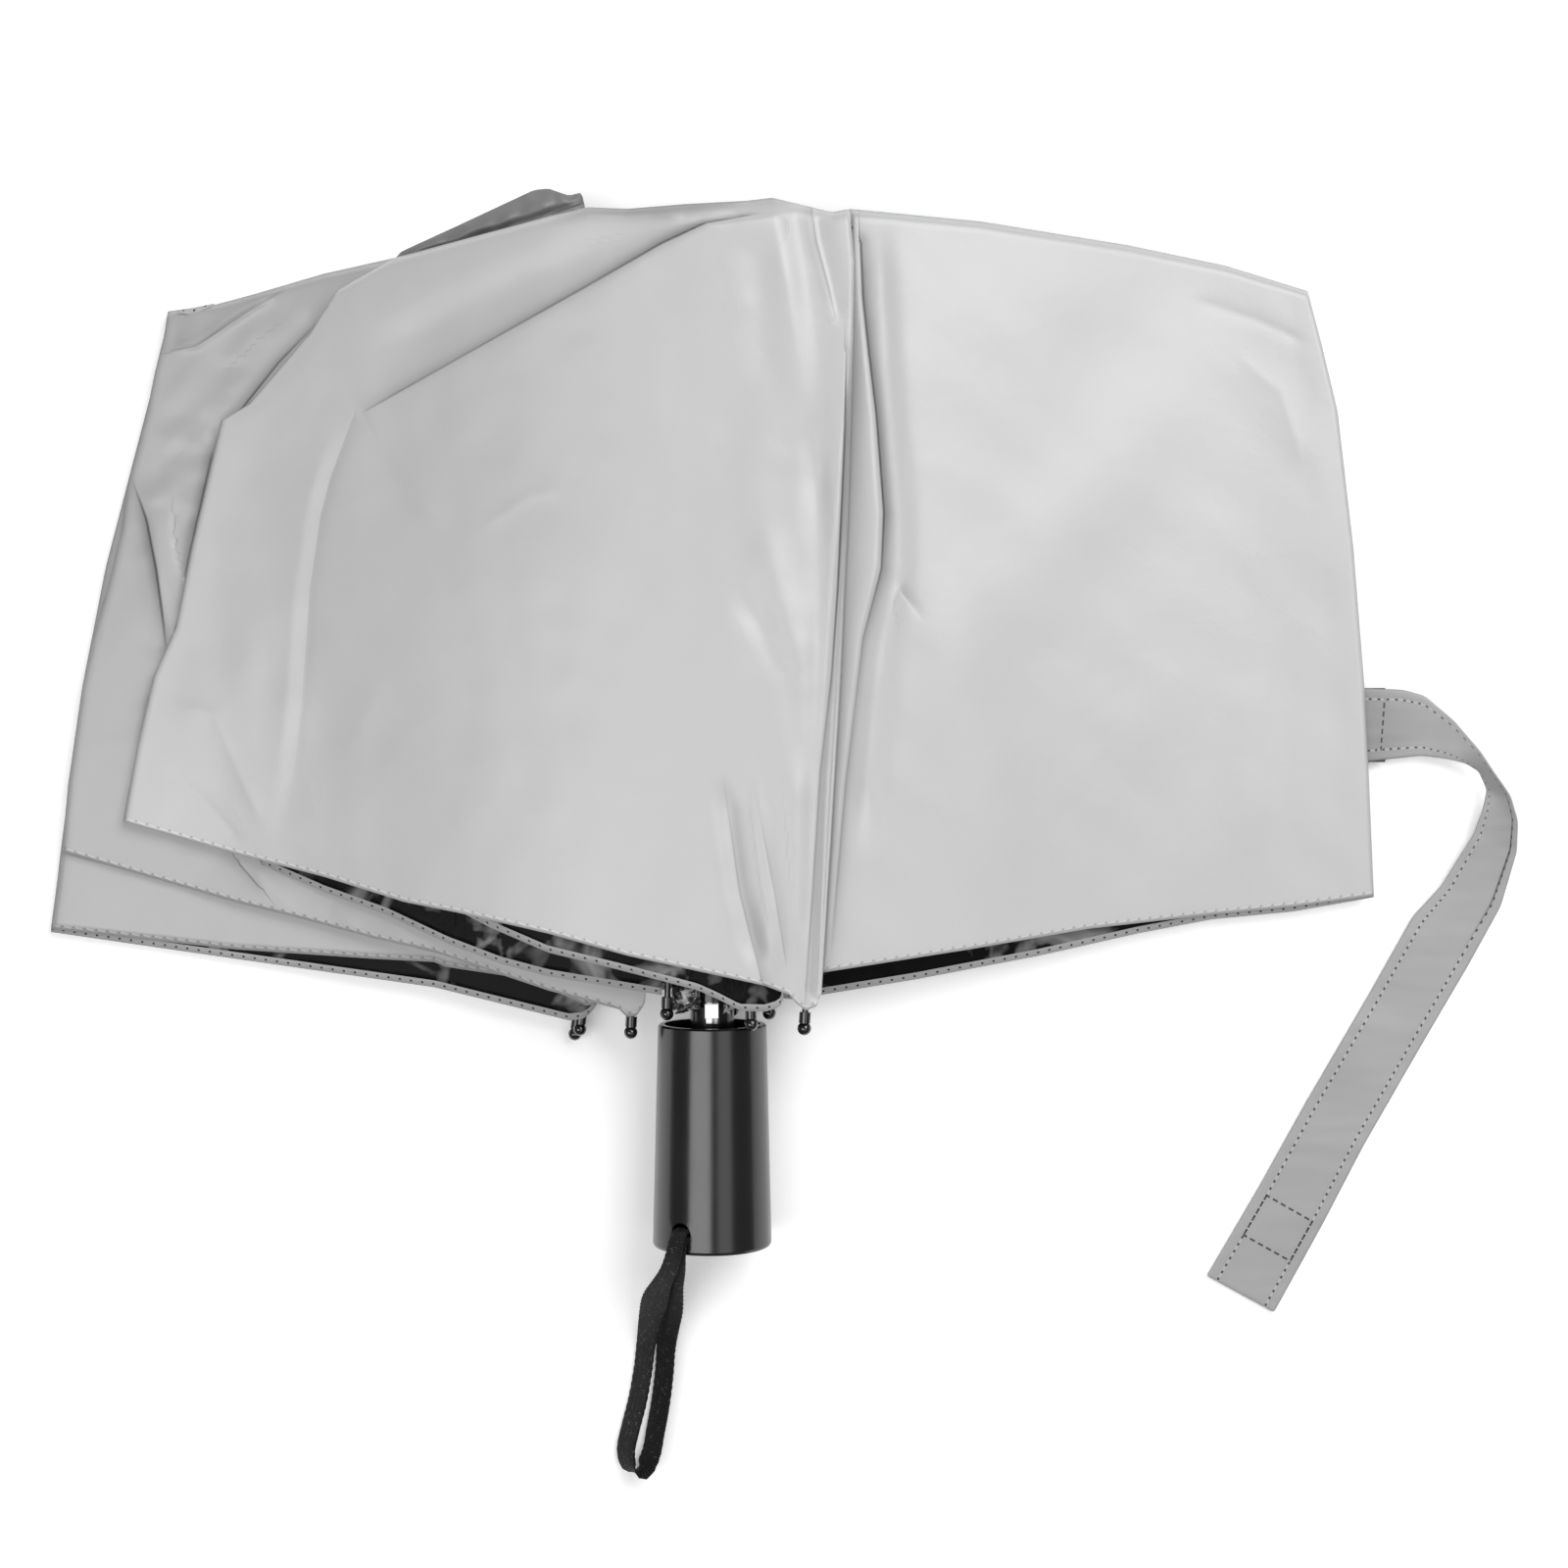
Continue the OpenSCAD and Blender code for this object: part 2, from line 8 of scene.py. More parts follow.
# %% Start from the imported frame
import json
import math
import bmesh
import bpy
import numpy as np
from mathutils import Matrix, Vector


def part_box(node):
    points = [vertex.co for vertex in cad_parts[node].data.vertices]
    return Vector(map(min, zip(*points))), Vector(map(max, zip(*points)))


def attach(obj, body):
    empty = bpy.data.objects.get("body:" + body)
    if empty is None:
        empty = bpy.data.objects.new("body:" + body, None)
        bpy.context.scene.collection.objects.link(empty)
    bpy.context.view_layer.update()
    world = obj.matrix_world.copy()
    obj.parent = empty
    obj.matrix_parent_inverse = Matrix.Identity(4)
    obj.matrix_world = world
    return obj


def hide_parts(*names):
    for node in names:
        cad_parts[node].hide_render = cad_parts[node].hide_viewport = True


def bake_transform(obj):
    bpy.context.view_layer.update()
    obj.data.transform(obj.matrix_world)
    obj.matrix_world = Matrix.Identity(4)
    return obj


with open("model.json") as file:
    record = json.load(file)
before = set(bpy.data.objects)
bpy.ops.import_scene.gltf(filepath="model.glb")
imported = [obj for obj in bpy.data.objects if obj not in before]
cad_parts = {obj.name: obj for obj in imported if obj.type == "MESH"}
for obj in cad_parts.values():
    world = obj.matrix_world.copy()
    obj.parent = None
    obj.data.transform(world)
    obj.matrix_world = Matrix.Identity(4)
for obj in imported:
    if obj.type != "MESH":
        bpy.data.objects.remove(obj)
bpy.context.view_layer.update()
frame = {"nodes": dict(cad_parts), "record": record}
nodes = frame["nodes"]
MM = 0.001
table_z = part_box("handle_grip")[0].z
print("frame:", len(nodes), "nodes, table at", round(table_z / MM, 2), "mm")

# %% [markdown]
# ## Camera
# The photo was taken from straight above with the handle near the bottom. An orthographic camera would be
# simpler, but in the photo the higher cloth layers shift outwards a little. A 50 mm lens at 0.69 m shows
# that shift, and the outlines below are measured through it.

# %% Camera
scene = bpy.context.scene
camera_at = (0.0227, 0.1459, 0.690)
camera = bpy.data.objects.new("camera", bpy.data.cameras.new("camera"))
camera.data.lens = 50
camera.data.sensor_width = 36
camera.location = camera_at
scene.collection.objects.link(camera)
scene.camera = camera
print("camera at", camera_at)

# %% [markdown]
# ## Shader maths as plain expressions
# A finish is a small sum of patterns. Its nodes could be placed and linked one by one, but then the idea
# gets lost among the sockets. `Value` wraps one socket, so that `1 - mask` or `mask * 0.3` adds the Math
# nodes. `Finish` holds one material and makes every other node with one method.

# %% One socket as a value
class Value:
    def __init__(self, finish, socket):
        self.finish, self.socket = finish, socket

    def __add__(self, other):
        return self.finish.math("ADD", self, other)

    def __sub__(self, other):
        return self.finish.math("SUBTRACT", self, other)

    def __rsub__(self, other):
        return self.finish.math("SUBTRACT", other, self)

    def __mul__(self, other):
        return self.finish.math("MULTIPLY", self, other)

    def __truediv__(self, other):
        return self.finish.math("DIVIDE", self, other)

    def __lt__(self, other):
        return self.finish.math("LESS_THAN", self, other)

    def __gt__(self, other):
        return self.finish.math("GREATER_THAN", self, other)

    __radd__ = __add__
    __rmul__ = __mul__


print("sockets ready for sums")

# %% One material as a finish
class Finish:
    def __init__(self, name):
        self.material = bpy.data.materials.new(name)
        self.material.use_nodes = True
        self.tree = self.material.node_tree
        self.surface = self.tree.nodes["Principled BSDF"]

    def plug(self, socket, value):
        if isinstance(value, Value):
            self.tree.links.new(value.socket, socket)
        else:
            socket.default_value = value

    def node(self, kind, settings=None, sockets=None, out=0):
        node = self.tree.nodes.new("ShaderNode" + kind)
        for key, value in (settings or {}).items():
            setattr(node, key, value)
        for key, value in (sockets or {}).items():
            self.plug(node.inputs[key], value)
        return Value(self, node.outputs[out])

    def math(self, operation, *values):
        return self.node("Math", {"operation": operation}, dict(enumerate(values)))

    def mix(self, share, first, second):
        """Colours by share: 0 gives the first, 1 the second."""
        return self.node("Mix", {"data_type": "RGBA"}, {0: share, 6: first, 7: second}, out=2)

    def place(self):
        return self.node("TexCoord", out="Object")

    def map_axes(self, uv_map):
        """U and V of a UV map."""
        u = self.node("SeparateXYZ", {}, {0: self.node("UVMap", {"uv_map": uv_map})})
        return u, Value(self, u.socket.node.outputs[1])

    def size_of(self, value):
        return self.math("ABSOLUTE", value)

    def at_least_0(self, value):
        return self.math("MAXIMUM", value, 0.0)

    def noise(self, where, scale, detail=3.0, rough=0.5, distortion=0.0):
        return self.node("TexNoise", {}, {"Vector": where, "Scale": scale, "Detail": detail,
                                          "Roughness": rough, "Distortion": distortion})

    def bump(self, height, distance, strength=1.0, under=None):
        sockets = {"Height": height, "Distance": distance, "Strength": strength}
        if under is not None:
            sockets["Normal"] = under
        return self.node("Bump", {}, sockets)

    def set(self, **values):
        for key, value in values.items():
            self.plug(self.surface.inputs[key.replace("_", " ")], value)
        return self.material


def grey(level, tint=0.0):
    return (level, level, level * (1 + tint), 1)


print("a mid grey:", grey(0.5))

# %% [markdown]
# ## Cloth finish
# The cloth is coated: satin silver-grey outside, glossy black inside. The hems are rolled once and sewn.
# The UV map `hem_mm` carries millimetres: U runs along the hem, V is the distance from it. One pattern then
# sews every hem: light thread dashes outside, and inside a silver band with needle holes. Light patches
# painted into the black inside stand in for reflections. A second map, `fold_mm`, keeps folds sharp on a
# coarse grid: U is the distance to a fold's line in millimetres, V the fold's strength. The line gets a
# painted shadow as a dark edge, painted shade on its low side and a ledge in the bump. A painted texture
# could hold all this too, but a pattern that is worked out stays sharp close up.

# %% Cloth, outside
stitch_pitch = 3.7
hem_width = 2.2
fold_line_half = 0.55
shade_reach, close_reach = 11, 3.6


def cloth_outside(name="cloth outside", level=0.56, crinkle=0.0002):
    f = Finish(name)
    along, from_hem = f.map_axes("hem_mm")
    fold, depth = f.map_axes("fold_mm")
    # Masks for painted shade at the fold lines: a dark edge on the line, shade on its low side, and a darker
    # band close to it.
    line = f.at_least_0(1 - f.size_of(fold + 0.15) / fold_line_half) * depth
    low_side = (fold < 0) * depth
    under = f.at_least_0(1 + fold / shade_reach)
    close = f.at_least_0(1 + fold / close_reach) * low_side
    ledge = f.node("MapRange", {"interpolation_type": "SMOOTHSTEP"},
                   {"Value": fold, "From Min": -0.7, "From Max": 0.5}) * depth
    place = f.place()
    crinkles = f.noise(place, 70, 5, 0.55, 0.4)
    clouds = f.noise(place, 9, 2)
    grain = f.noise(place, 2200, 2, 0.6)
    dash = f.math("FRACT", along / stitch_pitch)
    in_row = f.size_of(from_hem - hem_width / 2 - (dash - 0.35) * 0.5) < 0.27
    thread = (dash < 0.62) * in_row
    hole = (f.size_of(dash - 0.8) < 0.08) * in_row
    in_hem = from_hem < hem_width
    pucker = f.math("SINE", along * (2 * math.pi / stitch_pitch)) * in_hem
    tone = f.mix(clouds * 0.7 + crinkles * 0.25, grey(level * 0.94, 0.012), grey(level * 1.05, 0.012))
    tone = f.mix(in_hem * 0.06, tone, grey(level * 0.7))
    tone = f.mix(thread * 0.6, tone, grey(0.74))
    tone = f.mix(hole * 0.5, tone, grey(0.12))
    # Painted shade: the low side of a fold line is darkened, more so close to it, and the line gets a
    # painted shadow as a dark edge.
    tone = f.mix(under * under * low_side * 0.5, tone, grey(level * 0.3))
    tone = f.mix(close * 0.4, tone, grey(level * 0.22))
    tone = f.mix(line * 0.62, tone, grey(level * 0.12))
    soft = f.bump(crinkles, crinkle, 0.9)
    fine = f.bump(grain, 0.00002, 0.5, soft)
    sewn = f.bump(thread * 0.8 + pucker * 0.15, 0.0001, 0.6, fine)
    folded = f.bump(ledge, 0.0007, 0.9, sewn)
    f.set(Base_Color=tone, Roughness=0.38 + clouds * 0.14, Normal=folded, Metallic=0.12)
    f.surface.inputs["Specular IOR Level"].default_value = 0.45
    return f.material


outside = cloth_outside()
# Painted shade: the lower leaves B and C get a darker copy of the same cloth finish.
painted_shade_outside = cloth_outside("cloth outside in painted shade, lower leaves", 0.46)
# Painted shade: the rear flap gets a darker copy of the same cloth finish.
painted_shade_rear_outside = cloth_outside("cloth outside in painted shade, rear", 0.23, 0.0003)
print("cloth outside:", outside.name, "/", painted_shade_outside.name, "/", painted_shade_rear_outside.name)

# %% Cloth, inside
def cloth_inside(name="cloth inside"):
    f = Finish(name)
    along, from_hem = f.map_axes("hem_mm")
    place = f.place()
    crinkles = f.noise(place, 55, 4, 0.6, 0.8)
    dash = f.math("FRACT", along / stitch_pitch)
    hole = (f.size_of(from_hem - hem_width / 2) < 0.3) * (f.size_of(dash - 0.5) < 0.1)
    in_hem = from_hem < hem_width
    # Painted glints: light patches in the black colour stand in for reflections.
    painted_glint = f.at_least_0(f.noise(place, 42, 3, 0.6, 0.7) - 0.53) * 6
    black = f.mix(f.math("MINIMUM", painted_glint, 1.0), f.mix(crinkles, grey(0.002), grey(0.006)), grey(0.4))
    tone = f.mix(in_hem, black, grey(0.47, 0.01))
    tone = f.mix(hole * in_hem, tone, grey(0.05))
    shape = f.bump(crinkles, 0.0006, 0.9)
    f.set(Base_Color=tone, Roughness=0.24 + in_hem * 0.25 + crinkles * 0.1, Normal=shape)
    f.surface.inputs["Specular IOR Level"].default_value = 0.06
    return f.material


inside = cloth_inside()
print("cloth inside:", inside.name)

# %% [markdown]
# ## Hard finishes
# Each carried-over CAD node gets its own finish: soft-touch black plastic on the handle, glossy black on
# the runner and the crown, plated steel on the tubes, black lacquer on the ribs and polished spring steel.
# One value per setting would do from afar. Real mouldings and tubes are never quite even, so faint noise in
# the roughness and the bump breaks up their reflections.

# %% Plastic, steel and tape
def plastic(name, level, rough, coat=0.0, grain=0.00003, specular=0.5):
    f = Finish(name)
    place = f.place()
    speckle = f.noise(place, 1500, 3, 0.6)
    smear = f.noise(place, 60, 2)
    tone = f.mix(smear, grey(level * 0.85), grey(level * 1.15))
    f.set(Base_Color=tone, Roughness=rough + (smear - 0.5) * 0.08, Normal=f.bump(speckle, grain, 0.35))
    f.surface.inputs["Coat Weight"].default_value = coat
    f.surface.inputs["Specular IOR Level"].default_value = specular
    return f.material


def steel(name, level, rough):
    f = Finish(name)
    place = f.place()
    stretch = f.node("Mapping", {}, {"Vector": place, "Scale": (1.0, 0.05, 1.0)})
    lines = f.noise(stretch, 2500, 3, 0.6)
    spots = f.noise(place, 120, 3)
    tone = f.mix(spots, grey(level * 0.9), grey(level))
    f.set(Base_Color=tone, Roughness=rough + (lines - 0.5) * 0.1, Normal=f.bump(lines, 0.00001, 0.3))
    f.surface.inputs["Metallic"].default_value = 1.0
    return f.material


def tape(name, level):
    f = Finish(name)
    loops = f.noise(f.place(), 1800, 4, 0.7, 1.5)
    f.set(Base_Color=f.mix(loops, grey(level * 0.4), grey(level * 1.5)), Roughness=0.75 + loops * 0.1,
          Normal=f.bump(loops, 0.0004, 0.8))
    return f.material


finishes = {
    "black_plastic": plastic("soft-touch black", 0.006, 0.22, specular=0.8),
    "black_gloss": plastic("moulded black", 0.012, 0.22, 0.3),
    "tube_steel": steel("plated tube", 0.62, 0.2),
    "spring_steel": steel("polished spring steel", 0.62, 0.24),
    "rib_steel": plastic("black lacquer", 0.006, 0.10, 0.8, 0.00001),
    "pad_fabric": tape("hook and loop tape", 0.09),
}
print("hard finishes:", ", ".join(finishes))

# %% A finish for each node
node_slots = {s["node"]: s.get("material_slot") for s in frame["record"]["subparts"]}
for name, node in nodes.items():
    finish = finishes.get(node_slots.get(name))
    if finish:
        node.data.materials.clear()
        node.data.materials.append(finish)
print("hard finishes on", sum(node_slots.get(n) in finishes for n in nodes), "nodes")

# %% [markdown]
# ## How a leaf of cloth is made
# Each gore is folded once down its middle and lies as a leaf with a top and an under layer. A layer is one
# grid whose four edges follow lines measured in the photo: hem, top fold, seam and outer fold. Between them
# the points are spread evenly (a Coons patch), then lifted to the layer's height in the stack. The camera
# looks down from 0.69 m, so a point that is lifted also moves towards the camera's axis; `lift` does that,
# and the outlines stay where the photo has them. A cloth simulation could fold the canopy as well, but it
# wouldn't come to rest on these outlines.

# %% A patch between four lines
def resample(line, share):
    """Points at the given shares of a line's length."""
    line = np.array(line, float)
    steps = np.linalg.norm(np.diff(line, axis=0), axis=1)
    run = np.concatenate([[0], np.cumsum(steps)]) / steps.sum()
    return np.stack([np.interp(share, run, line[:, i]) for i in range(line.shape[1])], -1)


def patch(hem, top, seam, fold, u, v):
    """Each line runs from the seam to the fold, or from the hem to the top."""
    hem, top, seam, fold = ([list(p) for p in line] for line in (hem, top, seam, fold))
    seam[0], seam[-1], fold[0], fold[-1] = hem[0], top[0], hem[-1], top[-1]
    h, t = resample(hem, u), resample(top, u)
    s, f = resample(seam, v), resample(fold, v)
    u, v = u[:, None], v[:, None]
    corners = ((1 - u) * (1 - v) * np.array(hem[0]) + u * (1 - v) * np.array(hem[-1])
               + (1 - u) * v * np.array(top[0]) + u * v * np.array(top[-1]))
    return (1 - v) * h + v * t + (1 - u) * s + u * f - corners


print("halfway along a line:", resample([(0, 0), (10, 0), (10, 10)], [0.5])[0])

# %% Heights in the stack
def ease(t):
    """Runs smoothly from 0 to 1."""
    t = np.clip(t, 0, 1)
    return t * t * (3 - 2 * t)


left_pack = [-16.5, -12.6, -8.4, -4.5, 0.5, 5, 11, 17.2, 21.8, 24.4]
left_edge = [-18.2, -17.2, -16.2, -15.2, -14.1, -13, -12, -11, -10, -9]
right_pack = [-17.7, -16.6, -14.7, -8.5, -2, 14]
right_edge = [-18.2, -17.2, -16.2, -15.2, -13.8, -12.6]


def layer_height(side, layer, x):
    """Layers lie apart over the shaft and close together at the outer fold."""
    pack, edge = (left_pack, left_edge) if side < 0 else (right_pack, right_edge)
    return pack[layer] + (edge[layer] - pack[layer]) * ease((side * x - 24) / 150)


def lift(points, z):
    """Plan points on the shaft's plane, seen from the camera, at the height z."""
    eye = np.array(camera_at) / MM
    share = ((eye[2] - z) / eye[2])[:, None]
    return np.column_stack([eye[:2] + (points - eye[:2]) * share, z])


print("layers:", len(left_pack), "left,", len(right_pack), "right")

# %% [markdown]
# ## Folds
# Two kinds of fold shape the leaves. A crease is a low ridge or valley along a line. A step is an edge that
# stands up on one side of its line and sinks back over some distance, as where cloth is pushed over itself.
# Gentle noise adds the crumpled look of coated cloth. Sculpting could do this by hand, but as sums of simple
# shapes the folds stay easy to move.

# %% Ridges and steps
def near(points, line):
    """Distance to a line, the share along it and the side it lies on."""
    line = np.array(line, float)
    best = np.full(len(points), 1e9)
    along, side = np.zeros(len(points)), np.ones(len(points))
    lengths = np.linalg.norm(np.diff(line, axis=0), axis=1)
    before = 0.0
    for a, b, length in zip(line, line[1:], lengths):
        d = (b - a) / length
        t = np.clip((points - a) @ d, 0, length)
        off = points - a - t[:, None] * d
        far = np.linalg.norm(off, axis=1)
        turn = d[0] * off[:, 1] - d[1] * off[:, 0]
        closer = far < best
        best[closer] = far[closer]
        along[closer] = (before + t[closer]) / lengths.sum()
        side[closer] = np.where(turn[closer] < 0, -1, 1)
        before += length
    return best, along, side


def ends(along, fade):
    """0 at both ends of a line and 1 between them."""
    return ease(np.minimum(along, 1 - along) / fade)


def crease(points, line, rise, width, fade=0.2, power=1.0):
    """A ridge along the line, or a valley for a negative rise."""
    far, along, _ = near(points, line)
    return rise * ends(along, fade) * np.exp(-(far / width) ** power)


def step(points, line, rise, width, reach, fade=0.15):
    """Stands up on the left of the line, seen along it, for a positive rise."""
    far, along, side = near(points, line)
    return rise * ends(along, fade) * 0.5 * (1 + np.tanh(far * side / width)) * np.exp(-(far / reach) ** 2)


spot = np.array([[5.0, 3.0]])
print("a 2 mm ridge, 3 mm from its line:", crease(spot, [(0, 0), (10, 0)], 2, 4).round(2))

# %% Crumples
def crumple(points, size, seed):
    """Smooth noise about -1 to 1, from a few waves that run in turned directions."""
    random = np.random.default_rng(seed)
    total = np.zeros(len(points))
    bend = np.zeros(len(points))
    for turn in range(7):
        angle = random.uniform(0, math.pi)
        wave = random.uniform(0.6, 1.6) / size * 2 * math.pi
        shift = random.uniform(0, 6.3)
        run = points[:, 0] * math.cos(angle) + points[:, 1] * math.sin(angle)
        total += np.sin(run * wave + shift + 1.3 * bend)
        bend = np.sin(run * wave * 0.6 + shift)
    return total / 4


def sharp_crumple(points, size, seed):
    """Crumples with sharp ridges, as in stiff coated cloth."""
    return 1 - 2 * np.abs(np.clip(crumple(points, size, seed), -1, 1))


print("a crumpled spot:", crumple(spot, 30, 1).round(2))

# %% Sharp folds for the finish
def plan(points):
    """Where the camera sees points, on the shaft's plane: the inverse of lift."""
    eye = np.array(camera_at) / MM
    return eye[:2] + (points[:, :2] - eye[:2]) * (eye[2] / (eye[2] - points[:, 2]))[:, None]


def fold_map(points, lines):
    """Signed distance to the strongest fold line nearby, and how much it outdoes the others."""
    signed = np.full(len(points), -20.0)
    first, second = np.zeros(len(points)), np.zeros(len(points))
    for line, weights in lines:
        far, along, side = near(points, line)
        weight = np.interp(along, np.linspace(0, 1, len(weights)), weights) * ease(1.1 - far / 12)
        better = weight > first
        second = np.where(better, first, np.maximum(second, weight))
        first = np.maximum(first, weight)
        signed[better] = (far * side)[better]
    return signed, first * ease(2.2 * (first - second) / (first + 1e-6))


print("folds ready")

# %% [markdown]
# ## From plan to mesh
# A grid operator gives the leaf's faces, and its vertices are moved onto the patch. A flat plane with a
# Displace modifier could carry the relief, but not edges that follow lines. Solidify gives the cloth its
# thickness and puts the black finish on the inner side. Both UV maps are filled here.

# %% Make a cloth grid
def run_lengths(grid, axis):
    """How far each point lies along its row or column."""
    steps = np.linalg.norm(np.diff(grid, axis=axis), axis=2)
    return np.insert(np.cumsum(steps, axis=axis), 0, 0, axis=axis)


def cloth_grid(name, across, down, shape, outside_up, materials, thickness=0.3, cut=None, folds=()):
    """shape(u, v) gives the points in millimetres. The outside looks up or down.
    The UV map measures the cloth, or takes its size from cut. Sharp folds get a map of their own."""
    mesh = bmesh.new()
    bmesh.ops.create_grid(mesh, x_segments=across, y_segments=down, size=1)
    mesh.verts.ensure_lookup_table()
    uv = np.array([v.co[:2] for v in mesh.verts]) / 2 + 0.5
    points = shape(uv[:, 0], uv[:, 1])
    for vertex, point in zip(mesh.verts, points):
        vertex.co = point * MM
    mesh.normal_update()
    facing = sum(f.normal.z for f in mesh.faces)
    if (facing > 0) != outside_up:
        bmesh.ops.reverse_faces(mesh, faces=mesh.faces)
    order = np.lexsort((uv[:, 0], uv[:, 1])).reshape(down + 1, across + 1)
    grid = points[order]
    along = np.zeros(len(points))
    away = np.zeros(len(points))
    along[order] = run_lengths(grid, 1)
    away[order] = run_lengths(grid, 0)
    if cut:
        along, away = uv[:, 0] * cut[0], uv[:, 1] * cut[1]
    signed, strength = fold_map(plan(points), folds)
    mesh.loops.layers.uv.new("hem_mm")
    mesh.loops.layers.uv.new("fold_mm")
    layer, fold_layer = mesh.loops.layers.uv["hem_mm"], mesh.loops.layers.uv["fold_mm"]
    for face in mesh.faces:
        face.smooth = True
        for loop in face.loops:
            i = loop.vert.index
            loop[layer].uv = (along[i], away[i])
            loop[fold_layer].uv = (signed[i], strength[i])
    data = bpy.data.meshes.new(name)
    mesh.to_mesh(data)
    mesh.free()
    for material in materials:
        data.materials.append(material)
    piece = bpy.data.objects.new(name, data)
    scene.collection.objects.link(piece)
    wall = piece.modifiers.new("thickness", "SOLIDIFY")
    wall.thickness = thickness * MM
    wall.offset = 0
    wall.material_offset = len(materials) - 1
    wall.use_even_offset = False
    area = sum(face.area for face in data.polygons)
    print(f"{name}: {len(data.polygons)} faces, {area * 1e4:.0f} cm2")
    return piece


# %% [markdown]
# ## The lines measured in the photo
# All in millimetres on the shaft's plane, as the camera sees them. The right half is one big leaf (D) with
# two hidden ones below (E, F). On the left five leaves lie on each other: A at the front, then G, B, C and
# a hidden one (H). Each outline has only the points that its shape needs, and `resample` fills them in. The
# hidden ones are estimates.

# %% Outlines
seam_line = [(34.5, 80), (40.5, 177), (42, 208), (43, 227.5), (44, 259), (44.5, 283), (45, 311),
             (43.5, 328)]
right_hem = [(34, 86), (81.5, 93.5), (119, 100), (158, 104.5), (184, 107), (209.5, 110.5)]
right_under_hem = [(22.5, 78), (27.5, 77.5), (34, 79), (64.5, 84), (103.5, 91.5), (134.5, 98.5), (158, 103),
                   (184, 105.5), (209.5, 110)]
right_fold = [(209.5, 110.5), (208, 146), (206.5, 177), (203, 221), (198, 264), (193, 285), (188.5, 302)]
right_top = [(43.5, 328), (85, 324), (131.5, 316.5), (162.5, 310), (188.5, 302)]
front_hem = [(34.5, 79.5), (33, 75.5), (29.5, 74), (26.5, 76.5), (24.5, 79), (16.5, 82), (-27, 91.5),
             (-52, 98.5), (-80, 105), (-97.5, 108.5), (-123, 116.5), (-150, 123.5), (-186.5, 134)]
front_fold = [(-186.5, 134), (-182, 158.5), (-177, 180), (-170, 195.5), (-165, 220.5), (-157, 254.5),
              (-155.5, 261), (-147, 266), (-127.5, 288.5), (-118.5, 302.5)]
front_top = [(43.5, 328), (38, 327), (33.5, 328), (19, 331.5), (10.5, 330.5), (-8.5, 329.5), (-27, 328),
             (-39.5, 328.5), (-52, 325.5), (-80, 318), (-100.5, 312.5), (-118.5, 302.5)]
front_under_hem = [(22.4, 77.5), (21.5, 75.2), (17, 73.8), (9, 74), (2, 77.6), (-4.5, 80.5), (-29.5, 87),
                   (-52, 92.5), (-70.5, 100.5), (-80, 105.5), (-123, 117.5), (-186.5, 134.5)]
gusset_under_hem = [(-16, 79), (-52, 85), (-67, 89), (-84, 95.5), (-103, 104.5), (-122.5, 111.5),
                    (-143, 120.5)]
gusset_top_hem = [(9, 84), (-29, 90), (-70, 104), (-110, 115), (-143, 122)]
back_hem = [(-21, 80), (-21.5, 76), (-24, 72.5), (-27, 72), (-29.5, 74.5), (-52, 80.5), (-89, 93),
            (-107, 97), (-129, 103), (-151, 108.5), (-206, 124.5)]
back_fold = [(-206, 124.5), (-204, 146), (-199.5, 177), (-196, 192.5), (-191.5, 208), (-187, 226.5),
             (-185.5, 239), (-179, 264), (-176.5, 276.5), (-173.5, 288.5), (-172.5, 295.5)]
back_top = [(-18, 316), (-60, 318), (-100.5, 312.5), (-123, 307.5), (-145, 301), (-158, 297.5),
            (-172.5, 295.5)]
low_hem = [(-30, 78), (-39.5, 75.5), (-58, 84), (-84.5, 88), (-88, 89.5), (-107, 90.5), (-151, 93.5),
           (-209.5, 100)]
low_under_hem = [(-36, 77), (-38, 74), (-40.5, 71.5), (-45.5, 71), (-88, 81.5), (-119.5, 86), (-151, 90.5),
                 (-209.5, 99)]
low_fold = [(-209.5, 100), (-207.5, 115), (-206.5, 124), (-199.5, 177), (-192, 215), (-172, 291)]
print("outlines measured")

# %% [markdown]
# ## Folds seen in the photo
# The front leaf has one long diagonal fold from the crown that turns downwards, and soft valleys beside the
# seam. The right leaf has a raised strip along the seam. The back leaf is the most crumpled. A sharp fold
# is a line with its strengths, from its first point to its last. The cloth finish paints shade along each
# such line.

# %% Fold lines
diagonal = [(26.5, 328.5), (-2, 323.5), (-16, 317), (-39.5, 303.5), (-95.5, 272), (-114.2, 261.5)]
downward = [(-114.2, 261.5), (-121, 243), (-124, 231.5), (-127.5, 207.5), (-130, 172), (-132.5, 150),
            (-137, 127.5)]
strip_edge = [(46.8, 318), (47.5, 300), (49.3, 283), (51.7, 263), (54.1, 232), (53.3, 214), (47.5, 192),
              (42, 146), (37, 88)]
painted_shade_line_by_seam = [(29.5, 82), (31.5, 110), (34, 150), (37.5, 180), (39.5, 208), (40.5, 230), (41.8, 259),
           (42.2, 283)]
crown_tuck = [(31, 331), (33, 318), (37, 303), (40, 290)]
painted_shade_line_top = [(-52, 326.5), (-39.5, 329.5), (-27, 329), (-8.5, 330.5), (10.5, 331.5), (22, 332)]
rear_tuck = [(-184, 243.5), (-179, 229.5), (-176, 214), (-173.5, 195.5), (-172.5, 185.5)]
